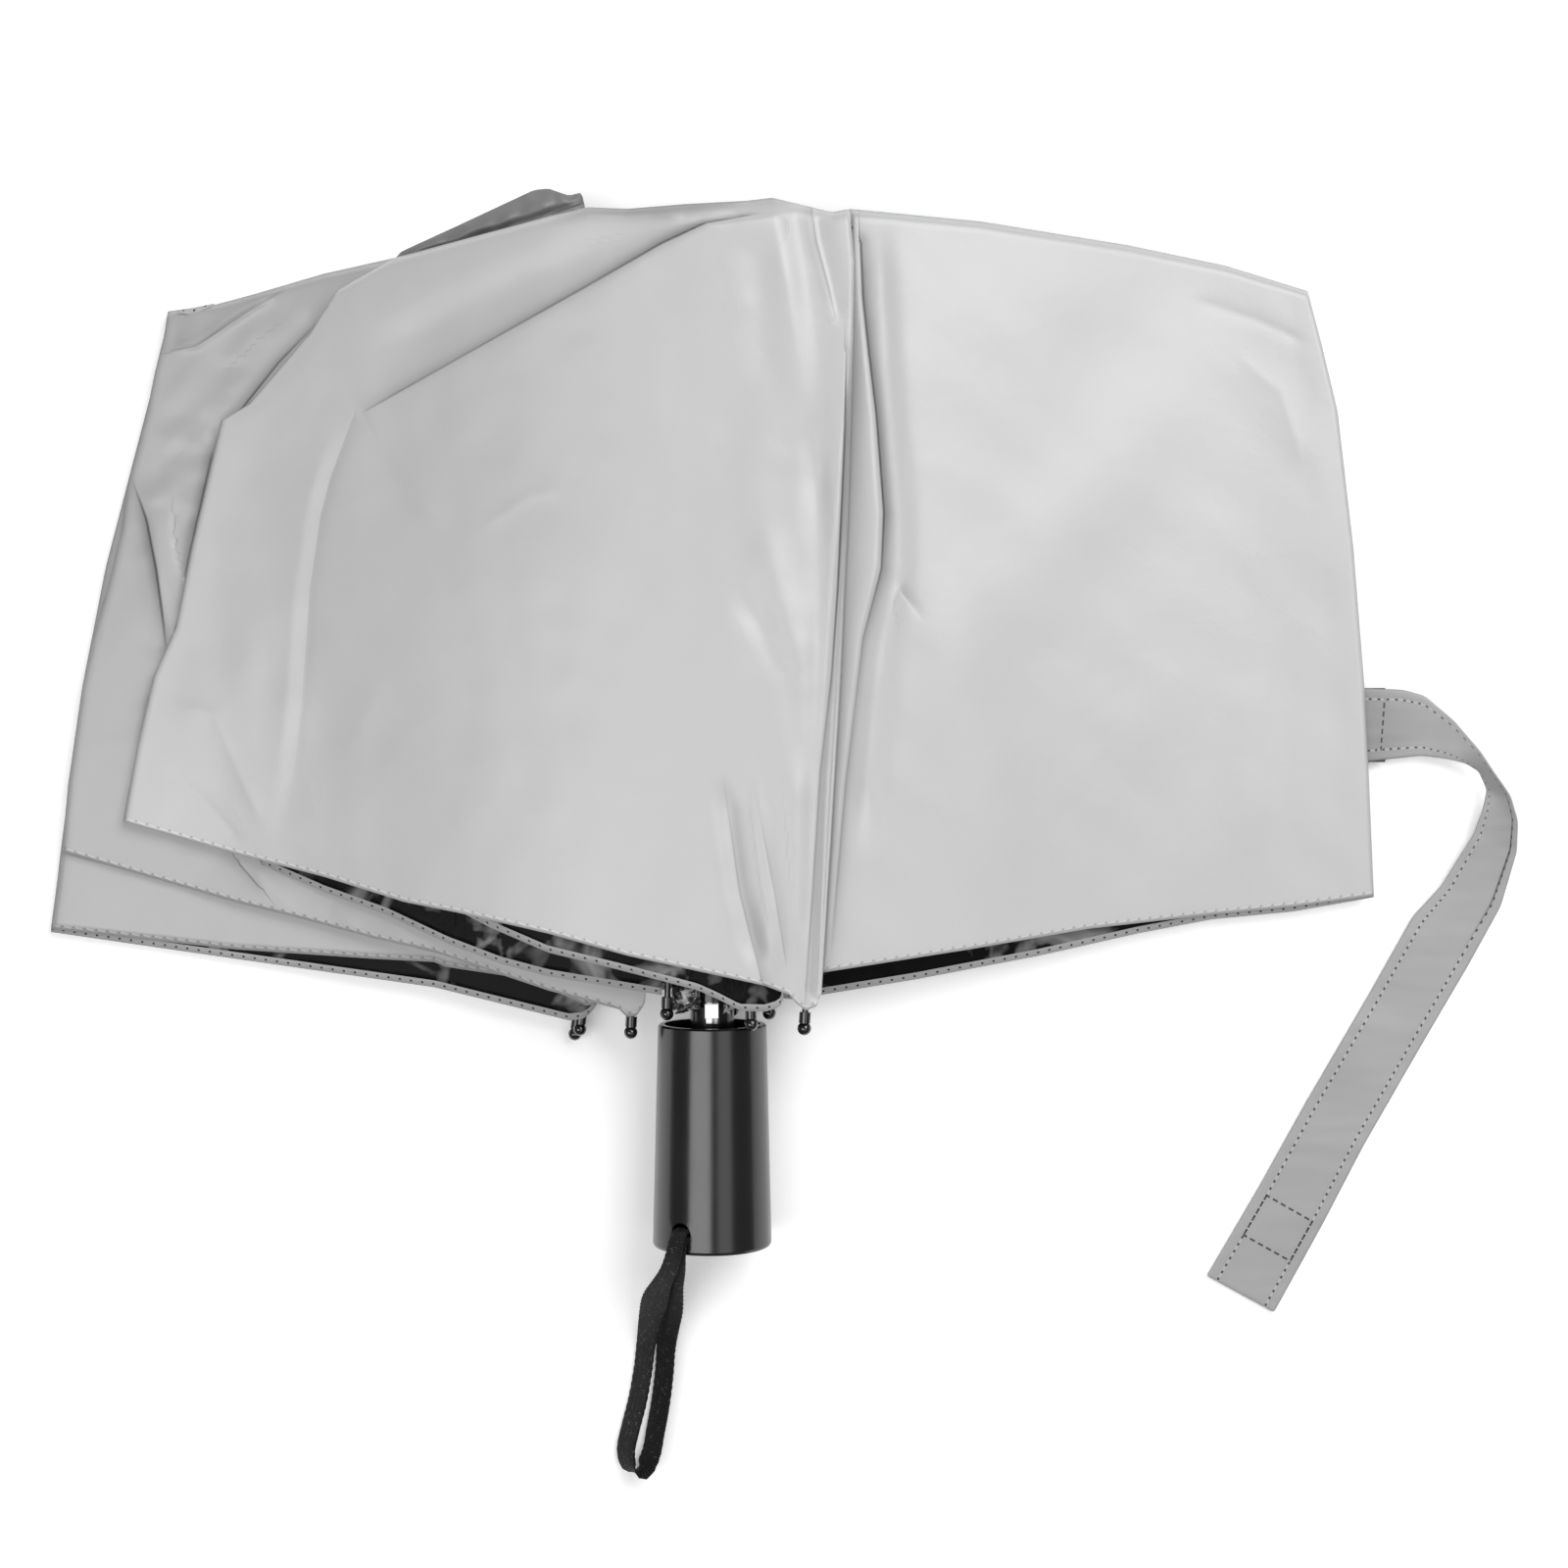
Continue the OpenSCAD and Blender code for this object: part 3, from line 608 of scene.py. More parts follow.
# Each line here also carries painted shade in the cloth finish: a dark edge on the line and shade on its low
# side, besides a ledge in the bump. The lines by the seam and under the top edge carry only that painted
# shade and ledge.
front_folds = [(diagonal, (0, 1, 1, 0.8, 0.6, 0.6, 0.5, 0.5, 0.5, 0.1)),
               (downward[::-1], (0, 0, 0.1, 0.15, 0.2, 0.25, 0.3, 0.2)),
               (crown_tuck, (0.2, 0.5, 0.4, 0)),
               ([(-40, 311), (-28, 316), (-12, 322), (4, 326)], (0, 0.4, 0.5, 0)),
               (painted_shade_line_by_seam, (0.3, 0.35, 0.35, 0.4, 0.7, 1, 1, 0.4)),
               ([(15.6, 83), (8.4, 112), (3, 150)], (0.45, 0.4, 0.3, 0)),
               (painted_shade_line_top, (0, 0.9, 1.3, 1.4, 1.2, 0.4)),
               ([(24, 84), (19.5, 112), (12, 150)], (0.2, 0.3, 0.2, 0))]
right_folds = [(strip_edge[::-1], (0.0, 0.3, 0.35, 0.3, 0.5, 1.1, 1.1, 1.1, 0.9)),
               ([(67, 197), (61, 205), (55, 213)], (0, 0.4, 0.3))]
back_folds = [(rear_tuck, (0, 0.8, 0.9, 0.7, 0)),
              ([(-134, 303), (-146.5, 296), (-163.5, 284.5), (-171, 283)], (0, 0.5, 0.6, 0.2)),
              ([(-123, 294), (-137, 279.5), (-147, 267), (-157, 254.5)], (0, 0.6, 0.8, 0.5)),
              ([(-157, 256), (-161, 238), (-165.5, 218), (-170, 197)], (0.5, 0.75, 0.5, 0)),
              ([(-175.5, 177), (-177.3, 168), (-178, 160)], (0.3, 1, 0.3)),
              ([(-150, 121), (-143.5, 113.5)], (0.4, 0.3)),
              ([(-186, 222), (-181, 212), (-180, 200)], (0, 0.3, 0))]
print("sharp folds:", len(front_folds), "front,", len(right_folds), "right,", len(back_folds), "back")

# %% Relief of the front leaf
def front_relief(p):
    z = step(p, diagonal, 2.4 * ease((p[:, 0] + 116) / 60), 0.6, 38, 0.05)
    far, _, side = near(p, downward)
    ends_softly = ease((266 - p[:, 1]) / 24) * ease((p[:, 1] - 126) / 40)
    z -= 1.0 * np.clip(far * side / 4.6 + 1, 0, 1) * ends_softly * np.exp(-(far / 40) ** 2)
    z += crease(p, [(-8, 330), (-40, 313), (-80, 295), (-112, 276)], -1.7, 8, 0.2, 2)
    z += crease(p, [(-20, 333), (-10, 323), (8, 327)], 0.8, 4, 0.3, 2)
    z += step(p, crown_tuck, -1.4, 0.8, 6, 0.2)
    z += crease(p, [(12, 326), (16, 300), (18, 270)], -0.8, 6, 0.3, 2)
    z += crease(p, [(22, 322), (24, 290), (28, 262)], 0.6, 5, 0.3, 2)
    z += crease(p, [(33, 262), (35.5, 210), (33.5, 150), (31, 88)], -1.6, 4.2, 0.12, 2)
    z += crease(p, [(5.5, 211), (16, 197), (24, 180), (29, 140)], -1.1, 4.5, 0.25, 2)
    z += crease(p, [(14, 235), (25, 190), (27, 130), (26, 84)], 1.2, 6, 0.15, 2)
    z += crease(p, [(3, 150), (8.4, 112), (15.6, 83)], -1.7, 3.4, 0.2, 2)
    z += crease(p, [(13, 150), (17, 112), (20, 84)], 0.9, 3, 0.2, 2)
    z += crease(p, [(-74, 226.5), (-66, 231.5), (-57.5, 237.5), (-47, 239)], 0.3, 2.2)
    z += crease(p, [(-30, 200), (-27, 180), (-20, 165)], 0.3, 4, 0.3, 2)
    z += crease(p, [(-172, 172), (-158, 168), (-150, 150), (-141, 130)], 0.45, 3)
    z += crease(p, [(-175, 152), (-160, 140), (-148, 126)], -0.35, 2)
    z += crease(p, [(-150, 240), (-144, 200), (-152, 160)], 0.35, 7, 0.3, 2)
    gap, _, _ = near(p, seam_line)
    wide = np.interp(p[:, 1], [85, 150, 200, 250, 275], [3.6, 5.6, 5.2, 3.0, 1.2])
    z -= 9.0 * ease(1 - gap / wide) * ease((285 - p[:, 1]) / 30)
    return z + 0.6 * crumple(p, 85, 3) + 0.16 * crumple(p, 30, 6) + 0.05 * sharp_crumple(p, 40, 5)


print("front leaf, middle of the seam:", front_relief(np.array([[42.0, 208.0]])).round(1), "mm")

# %% Relief of the other leaves
def right_relief(p):
    z = step(p, strip_edge[::-1], 2.0, 0.7, 9, 0.06)
    z += crease(p, [(52.2, 330), (53.5, 301), (55, 276), (57, 254), (59, 232), (59, 215), (54, 190),
                    (47, 120)], -1.7, 4.6, 0.12, 2)
    z += crease(p, [(56, 213), (62, 205), (68, 197)], -0.35, 1.3, 0.3)
    z += crease(p, [(70, 225), (78, 180), (95, 100)], 0.9, 12, 0.25, 2)
    z += crease(p, [(150, 300), (172, 293), (192, 284)], -0.5, 2)
    z += crease(p, [(165, 283), (180, 270), (188, 245)], 0.4, 4)
    z += crease(p, [(172, 190), (168, 150), (172, 118)], 0.5, 8, 0.3, 2)
    z += crease(p, [(182, 200), (180, 160), (181, 118)], -0.4, 6, 0.3, 2)
    return z + 0.65 * crumple(p, 90, 11) + 0.14 * crumple(p, 32, 12)


def back_relief(p):
    z = step(p, rear_tuck, 1.2, 0.8, 12)
    z += step(p, [(-173, 283), (-163.5, 284.5), (-146.5, 296), (-137, 301)], 1.5, 0.8, 14)
    z += crease(p, [(-160, 252), (-151, 262), (-137, 279.5), (-123, 294)], -1.3, 4, 0.1, 2)
    z += crease(p, [(-166, 235), (-170, 210), (-176, 185)], -0.9, 4, 0.1, 2)
    z += crease(p, [(-178, 168), (-176.5, 160)], -1.6, 1.5)
    z += crease(p, [(-150, 121), (-143.5, 113.5)], -0.7, 0.8)
    z += crease(p, [(-146, 119), (-133, 107)], 0.5, 2)
    z += crease(p, [(-120, 107), (-112, 100)], 0.5, 2)
    worn = ease((-p[:, 0] - 125) / 25) * ease((p[:, 1] - 200) / 40) + 0.2
    z += 0.3 * crumple(p, 50, 21) + 0.3 * worn * crumple(p, 16, 22)
    return z + 0.12 * worn * sharp_crumple(p, 24, 23)


def low_relief(p):
    return 0.22 * crumple(p, 60, 31) + 0.08 * sharp_crumple(p, 24, 32)


def below(relief):
    """A layer below follows the valleys of the one above it, and not its ridges."""
    return lambda p: np.minimum(relief(p), 0) + 0.3 * low_relief(p)


print("relief ready")

# %% [markdown]
# ## The sixteen layers
# Every gore stands for two layers. One folded mesh could show both, but in the photo the two hems lie apart,
# so each layer gets its own outline. Near the seam the cloth turns down to its rib, and near the top it
# rolls over into the fold, so both edges are rounded.

# %% One layer
def rounded(distance, radius):
    """How far an edge sinks, as a quarter circle."""
    d = np.clip(distance / radius, 0, 1)
    return radius * (np.sqrt(np.clip(1 - (1 - d) ** 2, 0, 1)) - 1)


leaf_height = 240
fold_round = 0.6
fold_fade, seam_fade, seam_share = 14, 10, 0.3
front_slope, slope_from, slope_over = 1.0, 8, 30
lowest, per_layer = -18.5, 0.35


def cloth_layer(name, gore, rib, side, layer, up, lines, relief=low_relief, size=(60, 56), top_round=3.0,
                seam_round=0.0, folds=(), face=None):
    """Lines are the hem, top, seam and fold. Up says that the outside looks up, face replaces its finish."""
    hem, top, seam, fold = lines

    def shape(u, v):
        p = patch(hem, top, seam, fold, u, v)
        z = layer_height(side, layer, p[:, 0])
        if gore == 8 and up:
            z = z - front_slope * ease((p[:, 0] - slope_from) / slope_over)
        z = z + relief(p) * ease((1 - u) * fold_fade) * ease(u * seam_fade + seam_share)
        width = np.linalg.norm(resample(hem, np.array([0.0, 1.0]))[1] - np.array(hem[0]))
        z = z + rounded((1 - v) * leaf_height, top_round) + rounded((1 - u) * width, fold_round)
        if seam_round:
            z = z + rounded(u * width, seam_round)
        z = np.maximum(z, lowest + per_layer * layer)
        return lift(p, z)

    piece = cloth_grid(name, *size, shape, up, [face or outside, inside], folds=folds)
    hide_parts(f"canopy_gore_{gore}")
    cloth[name] = (piece, rib, side)


def hidden(seam, fold, hem_middle, top_middle):
    """The four lines of a leaf that lies under others."""
    return [seam[0], hem_middle, fold[0]], [seam[-1], top_middle, fold[-1]], seam, fold


cloth = {}
fine, plain = (180, 160), (70, 60)
print("the outer fold sinks by", -rounded(0, fold_round), "mm")

# %% Layers of the right half
hidden_seam = [(20, 80), (16, 180), (17, 318)]
e_fold = [(205, 112), (202, 177), (184, 300)]
f_fold = [(202, 114), (198, 177), (181, 297)]
cloth_layer("leaf_D_top", 1, 8, 1, 5, True,
            (right_hem, right_top, [(x - 1.2, y) for x, y in seam_line], right_fold),
            right_relief, fine, 3.0, 1.5, right_folds)
cloth_layer("leaf_D_under", 1, 2, 1, 4, False,
            (right_under_hem, [(17, 318), (100, 318), (188, 302)], hidden_seam, right_fold),
            below(right_relief), plain)
cloth_layer("leaf_E_top", 2, 2, 1, 3, True,
            hidden([(20.5, 80), (16.5, 180), (17, 317)], e_fold, (100, 95), (100, 314)))
cloth_layer("leaf_E_under", 2, 3, 1, 2, False,
            hidden([(9, 80), (12, 180), (15, 316)], e_fold, (100, 95), (100, 313)))
cloth_layer("leaf_F_top", 3, 3, 1, 1, True,
            hidden([(8, 81), (9, 180), (12, 315)], f_fold, (100, 97), (100, 312)))
cloth_layer("leaf_F_under", 3, 4, 1, 0, False,
            hidden([(-42, 77), (-20, 180), (-4, 314)], f_fold, (100, 97), (100, 312)))
print(len(cloth), "layers on the right")

# %% Layers of the left half
gusset_fold = [(-143, 122), (-148, 180), (-140, 250), (-104, 310)]
h_fold = [(-203, 106), (-196, 180), (-168, 290)]
cloth_layer("leaf_A_top", 8, 8, -1, 9, True, (front_hem, front_top, seam_line, front_fold),
            front_relief, (210, 210), 4.0, 1.5, front_folds)
cloth_layer("leaf_A_under", 8, 8, -1, 8, False,
            (front_under_hem, [(3, 320), (-60, 318), (-118, 302)], [(22.4, 77.5), (5, 180), (3, 320)],
             front_fold), below(front_relief), (120, 60))
cloth_layer("leaf_G_top", 7, 8, -1, 7, True,
            (gusset_top_hem, [(2, 320), (-50, 320), (-104, 310)], [(9, 84), (5, 180), (2, 320)],
             gusset_fold))
cloth_layer("leaf_G_under", 7, 7, -1, 6, False,
            (gusset_under_hem, [(-11, 318), (-50, 318), (-104, 310)], [(-16, 79), (-13.5, 180), (-11, 318)],
             gusset_fold))
cloth_layer("leaf_B_top", 6, 7, -1, 5, True,
            (back_hem, back_top, [(-21, 80), (-19.3, 180), (-18, 316)], back_fold),
            back_relief, (120, 120), folds=back_folds, face=painted_shade_outside)
cloth_layer("leaf_B_under", 6, 6, -1, 4, False,
            ([(-27, 77), (-90, 93), (-206, 124)], back_top, [(-27, 77), (-22, 180), (-18, 316)], back_fold),
            below(back_relief), plain)
cloth_layer("leaf_C_top", 5, 6, -1, 3, True,
            (low_hem, [(-17, 316), (-60, 316), (-172, 292)], [(-30, 78), (-22, 180), (-17, 316)], low_fold),
            low_relief, (90, 80), face=painted_shade_outside)
cloth_layer("leaf_C_under", 5, 5, -1, 2, False,
            (low_under_hem, [(-18, 314), (-60, 314), (-172, 292)], [(-36, 77), (-33, 180), (-18, 314)],
             low_fold), low_relief, (90, 60))
cloth_layer("leaf_H_top", 4, 5, -1, 1, True,
            hidden([(-45, 78), (-30, 180), (-17, 313)], h_fold, (-100, 88), (-60, 313)))
cloth_layer("leaf_H_under", 4, 4, -1, 0, False,
            hidden([(-47, 78), (-27, 180), (-8, 313)], h_fold, (-100, 88), (-60, 313)))
print(len(cloth), "layers in all")

# %% [markdown]
# ## Closure strap
# A double strip of cloth, sewn along both long sides, with a stitched box near the free end. It leaves the
# outer fold, turns over in a soft twist and runs back along the table. A curve with a flat section could
# make it, but its width changes in the twist, so a grid spans the two edges that the photo shows.

# %% Strap: edges and stitches
strap_outer = [(204, 177), (210, 177), (223, 176.5), (230, 174.5), (239, 166.5), (247, 156), (251, 149),
               (256, 142), (259, 134), (259.5, 124), (255, 106), (245, 87), (230, 61), (211, 28), (198, 3),
               (182, -26)]
strap_inner = [(204, 153), (210, 153), (220, 154), (229, 155), (237, 154), (243, 152.5), (247, 150),
               (249.5, 144), (248.5, 138), (246, 130), (236, 113), (227, 103), (213, 78), (192, 42),
               (177, 15), (160, -14)]
strap_height = [3.6, 3.6, 3.6, 3.4, 3.6, 4.2, 4.8, 5, 4.4, 3.2, 1.8, 1.1, 0.85, 0.85, 0.85, 0.85]
strap_tilt = [0, 0, 0, 0.6, 1.6, 3.2, 4, 3.6, 2.6, 1.6, 0.8, 0.3, 0, 0, 0, 0]
strap_base = -18.8
strap_width, strap_length = 23, 262
strap_pitch = 2.8
row_from_middle = 8.1
box_centre, box_half = 235.2, 8
root_row_at = 13.5
turn_centre, turn_half = 84, 34
print("strap:", len(strap_outer), "points on each edge")

# %% Strap finish
def strap_finish():
    f = Finish("strap cloth")
    across, along = f.map_axes("hem_mm")
    place = f.place()
    clouds = f.noise(place, 22, 3)
    grain = f.noise(place, 2200, 2, 0.6)
    from_middle = f.size_of(across - strap_width / 2)
    from_box = f.size_of(along - box_centre)
    from_turn = f.size_of(along - turn_centre)
    dash = f.math("FRACT", along / strap_pitch)
    rows = f.size_of(from_middle - row_from_middle) < 0.3
    side_rows = rows * (dash < 0.36) + rows * (from_box < box_half) * (dash < 0.8)
    across_dash = f.math("FRACT", across / strap_pitch) < 0.62
    box_rows = f.size_of(from_box - box_half) < 0.34
    root_row = f.size_of(along - root_row_at) < 0.3
    thread = f.math("MAXIMUM", side_rows, (box_rows + root_row) * across_dash * (from_middle < 8.3))
    turned = f.at_least_0(1 - from_turn / turn_half)
    # Painted shadow: a dark line in the twist, where the turned-over edge shades the strap.
    painted_twist_shadow = f.at_least_0(1 - f.size_of(across - 19.8 + clouds) / 0.7) * turned
    tone = f.mix(clouds, grey(0.33, 0.012), grey(0.45, 0.008))
    # Painted shade: the strap is darker near its root, where it leaves the outer fold.
    tone = f.mix(f.at_least_0(1 - along / 30) * 0.75, tone, grey(0.17))
    tone = f.mix(rows * 0.35, tone, grey(0.6))
    tone = f.mix(thread * 0.9, tone, grey(0.025))
    tone = f.mix(f.math("MINIMUM", painted_twist_shadow * 1.6, 1.0) * 0.8, tone, grey(0.03))
    turned_place = f.node("Mapping", {}, {"Vector": place, "Rotation": (0, 0, 0.6), "Scale": (1, 4, 1)})
    streaks = f.noise(turned_place, 15, 2)
    seam_bump = f.size_of(from_middle - 8.2) < 0.8
    shape = f.bump(streaks, 0.0018, 0.8)
    shape = f.bump(seam_bump * -0.6 + thread * 0.5, 0.0002, 0.7, shape)
    shape = f.bump(grain, 0.00002, 0.4, shape)
    f.set(Base_Color=tone, Roughness=0.40 + clouds * 0.12, Normal=shape, Metallic=0.1)
    return f.material


strap_cloth = strap_finish()
print("strap finish:", strap_cloth.name)

# %% Strap piece
def strap_shape(u, v):
    outer, inner = np.array(strap_outer, float), np.array(strap_inner, float)
    middle = (outer + inner) / 2
    steps = np.linalg.norm(np.diff(middle, axis=0), axis=1)
    run = np.concatenate([[0], np.cumsum(steps)]) / steps.sum()
    a = np.stack([np.interp(v, run, outer[:, i]) for i in (0, 1)], -1)
    b = np.stack([np.interp(v, run, inner[:, i]) for i in (0, 1)], -1)
    share = u[:, None]
    p = b * (1 - share) + a * share
    z = strap_base + np.interp(v, run, strap_height) + np.interp(v, run, strap_tilt) * (0.25 + 1.1 * u)
    z = z + 0.12 * crumple(p, 30, 41) * ease(np.interp(v, run, strap_height) / 2)
    return np.column_stack([p, z])


strap = cloth_grid("closure_strap_cloth", 16, 150, strap_shape, True, [strap_cloth], 0.7,
                   (strap_width, strap_length))
subdivide = strap.modifiers.new("smooth", "SUBSURF")
subdivide.levels = subdivide.render_levels = 1
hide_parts("closure_strap")
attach(strap, "canopy_pack")

# %% [markdown]
# ## Wrist ribbon
# A flat woven ribbon leaves the pocket in the handle, lies down beside it and comes back: a free loop. Its
# middle line repeats the CAD route. The section is flat with rounded edges; the weave's ribs run across. A
# bevelled curve could make it, but a grid that is rolled into a tube keeps a UV map in millimetres, so the
# weave has its real size.

# %% Ribbon: its middle line
ribbon_route = [(-6.6, 5.6, 11.9), (-8, 5.4, 14.3), (-9.2, 4.9, 16.4), (-9.9, 2.6, 17.4), (-10.1, -1.4, 17),
                (-10.6, -6.5, 12.5), (-11.6, -12, 6.5), (-13, -19, -2), (-14.4, -27, -10),
                (-15.4, -35, -14.2), (-16, -44, -15), (-17.2, -54, -15), (-18.8, -63, -14.8),
                (-20.4, -71, -14.2), (-23.4, -76.2, -14.1), (-27.2, -75, -14.1), (-28.4, -69.6, -14.2),
                (-27, -62.6, -14.8), (-24.8, -54, -15), (-23, -44, -15), (-21.8, -34, -14), (-20.2, -25, -8),
                (-18, -17, 1.5), (-15.4, -10, 10.5), (-13, -4.6, 16.4), (-11.4, 0.4, 19.4),
                (-10.6, 4.2, 19.8), (-9.6, 7, 17.6), (-8.2, 7.7, 14.6), (-6.6, 7.6, 11.9)]
ribbon_width, ribbon_neck, ribbon_thick = 8.6, 5.4, 1.1
ribbon_girth = 19
rib_pitch, thread_pitch, edge_pitch = 0.8, 0.85, 2.4


def smooth_line(points, count):
    """A Catmull-Rom line through the points, at even steps."""
    p = np.array([points[0]] + list(points) + [points[-1]], float)
    t = np.linspace(0, len(points) - 1 - 1e-9, count * 6)
    i = t.astype(int)
    s = (t - i)[:, None]
    a, b, c, d = p[i], p[i + 1], p[i + 2], p[i + 3]
    line = 0.5 * (2 * b + (c - a) * s + (2 * a - 5 * b + 4 * c - d) * s**2 + (3 * b - a - 3 * c + d) * s**3)
    return resample(line, np.linspace(0, 1, count))


ribbon_steps = 170
ribbon_middle = smooth_line(ribbon_route, ribbon_steps + 1)
ribbon_length = np.linalg.norm(np.diff(ribbon_middle, axis=0), axis=1).sum()
print("ribbon:", round(ribbon_length), "mm")

# %% Ribbon: its flat section
def ribbon_shape(u, v):
    step_at = np.round(v * ribbon_steps).astype(int)
    ahead = np.gradient(ribbon_middle, axis=0)
    ahead /= np.linalg.norm(ahead, axis=1)[:, None]
    count = np.arange(ribbon_steps + 1)
    near_end = np.minimum(count, ribbon_steps - count) * (len(ribbon_route) - 1) / ribbon_steps
    lean = ease((near_end - 4) / 5)[:, None]
    wide = (1 - lean) * np.array([math.cos(math.radians(30)), 0, 0.5]) + lean * np.array([0.7, 0, 0.72])
    wide = wide - ahead * (wide * ahead).sum(1)[:, None]
    wide /= np.linalg.norm(wide, axis=1)[:, None]
    thin = np.cross(ahead, wide)
    half = (ribbon_neck + (ribbon_width - ribbon_neck) * ease((near_end - 3) / 3)) / 2
    angle = u * 2 * math.pi
    flat = np.sign(np.cos(angle)) * np.abs(np.cos(angle)) ** 0.55
    thick = np.sign(np.sin(angle)) * np.abs(np.sin(angle)) ** 0.45
    weave = 1 + 0.035 * np.cos(v * ribbon_length * 2 * math.pi / edge_pitch)
    return (ribbon_middle[step_at] + wide[step_at] * (half[step_at] * flat * weave)[:, None]
            + thin[step_at] * (ribbon_thick / 2 * thick)[:, None])


print("ribbon section:", ribbon_width, "x", ribbon_thick, "mm, at its ends", ribbon_neck, "mm wide")

# %% Ribbon finish
def ribbon_finish():
    f = Finish("woven black ribbon")
    around, along = f.map_axes("hem_mm")
    ribs = f.size_of(f.math("SINE", along * (math.pi / rib_pitch)))
    threads = f.size_of(f.math("SINE", around * (math.pi / thread_pitch)))
    fuzz = f.noise(f.place(), 1500, 3, 0.7)
    height = ribs * (0.55 + threads * 0.45) + fuzz * 0.3
    specks = f.noise(f.place(), 650, 2, 0.8) > 0.62
    tone = f.mix(height, grey(0.001), grey(0.016))
    tone = f.mix(specks * height * 0.6, tone, grey(0.14))
    f.set(Base_Color=tone, Roughness=0.5 + fuzz * 0.2, Normal=f.bump(height, 0.00035, 1.0))
    f.surface.inputs["Specular IOR Level"].default_value = 0.25
    return f.material


woven_black = ribbon_finish()
print("ribbon finish:", woven_black.name)

# %% Ribbon piece
def ribbon_piece():
    mesh = bmesh.new()
    sides = 20
    bmesh.ops.create_grid(mesh, x_segments=sides, y_segments=ribbon_steps, size=1)
    uv = np.array([v.co[:2] for v in mesh.verts]) / 2 + 0.5
    points = ribbon_shape(uv[:, 0], uv[:, 1])
    layer = mesh.loops.layers.uv.new("hem_mm")
    for face in mesh.faces:
        face.smooth = True
        for loop in face.loops:
            u, v = uv[loop.vert.index]
            loop[layer].uv = (u * ribbon_girth, v * ribbon_length)
    for vertex, point in zip(mesh.verts, points):
        vertex.co = point * MM
    bmesh.ops.remove_doubles(mesh, verts=mesh.verts, dist=1e-6)
    bmesh.ops.holes_fill(mesh, edges=mesh.edges, sides=0)
    bmesh.ops.recalc_face_normals(mesh, faces=mesh.faces)
    data = bpy.data.meshes.new("wrist_ribbon_woven")
    mesh.to_mesh(data)
    mesh.free()
    data.materials.append(woven_black)
    piece = bpy.data.objects.new("wrist_ribbon_woven", data)
    scene.collection.objects.link(piece)
    return piece


ribbon = ribbon_piece()
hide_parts("wrist_ribbon")
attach(ribbon, "handle")
print("ribbon faces:", len(ribbon.data.polygons))

# %% [markdown]
# ## Inner panels at the mouth
# Between the leaves and the handle the inner panels show: glossy black folds that stand round the runner,
# with bright crinkled reflections, which are painted into their colour. Whole folded panels could be
# modelled, but only their edges show, so two short pleated strips round the runner are enough.

# %% Folds round the runner
def pleat(name, start, turn, radius, reach, seed, y_low=74.5, y_high=98):
    """A strip that stands round the shaft, from the angle start over turn degrees."""

    def shape(u, v):
        angle = np.radians(start + turn * u)
        out = radius + reach * (0.5 + 0.5 * np.sin(u * math.pi * 3 + seed)) * (1 - 0.35 * v)
        p = np.column_stack([u * 60, v * 60])
        out = out + 1.1 * sharp_crumple(p, 16, seed)
        y = y_low + (y_high - y_low) * v + 1.4 * crumple(p, 40, seed + 1) * (1 - v)
        return np.column_stack([out * np.sin(angle), y, out * np.cos(angle)])

    piece = cloth_grid(name, 60, 26, shape, True, [inside_fold, inside_fold], 0.25)
    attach(piece, "canopy_pack")


def inside_fold_finish():
    f = Finish("inner panel, crinkled")
    place = f.place()
    crinkles = f.noise(place, 130, 4, 0.6, 1.0)
    # Painted reflections: bright crinkled glints in the colour.
    painted_glint = f.at_least_0(f.noise(place, 210, 2, 0.5, 0.8) - 0.54) * 9
    tone = f.mix(f.math("MINIMUM", painted_glint, 1.0), f.mix(crinkles, grey(0.012), grey(0.05)), grey(0.6))
    f.set(Base_Color=tone, Roughness=0.12 + crinkles * 0.1, Normal=f.bump(crinkles, 0.0012, 1.0))
    f.surface.inputs["Coat Weight"].default_value = 0.5
    return f.material


inside_fold = inside_fold_finish()
pleat("inner_panel_left", -100, 78, 9.0, 4.0, 2)
pleat("inner_panel_right", 24, 80, 9.0, 3.6, 5)

# %% [markdown]
# ## Rear flap
# Behind the crown a corner of a rear leaf stands out past the top edge. Its outside faces the camera, in a
# darker copy of the cloth finish that paints the shade on it.
# At the rear corner a sliver of the black inside shows past the back leaf's fold. Both could be part of
# their leaves' outlines, but they stand apart in height, so each is a small grid of its own.

# %% Rear flap
flap_low = [(-100.5, 309), (-80, 312), (-60, 316), (-40.5, 320)]
flap_high = [(-101.5, 311), (-98.5, 314.5), (-80, 323), (-64, 330.5), (-56.5, 334), (-52, 334.5),
             (-45.5, 332.2), (-41.5, 333.2), (-40.3, 328)]
corner_low = [(-169.6, 295.3), (-165.2, 294.4), (-157.8, 297.5)]
corner_high = [(-169.4, 295.7), (-157.8, 298.1)]


def flap_shape(u, v):
    low, high = resample(flap_low, u), resample(flap_high, u)
    p = low * (1 - v[:, None]) + high * v[:, None]
    z = 2.0 - 5 * u + 1.6 * np.sin(v * 3.1) + 0.5 * sharp_crumple(p, 14, 61)
    z = z + step(p, [(-98, 313), (-70, 322), (-41.5, 331)], 2.0, 0.8, 8, 0.1)
    return lift(p, z)


# Fold lines for the flap's finish, which paints shade along them.
flap_folds = [([(-41.5, 329.5), (-70, 320.5), (-98, 312)], (0.5, 0.8, 0.5)),
              ([(-42, 326.5), (-62, 320), (-92, 311.5)], (0.3, 0.6, 0))]
flap = cloth_grid("rear_flap", 50, 24, flap_shape, True, [painted_shade_rear_outside, inside], folds=flap_folds)
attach(flap, "canopy_pack")

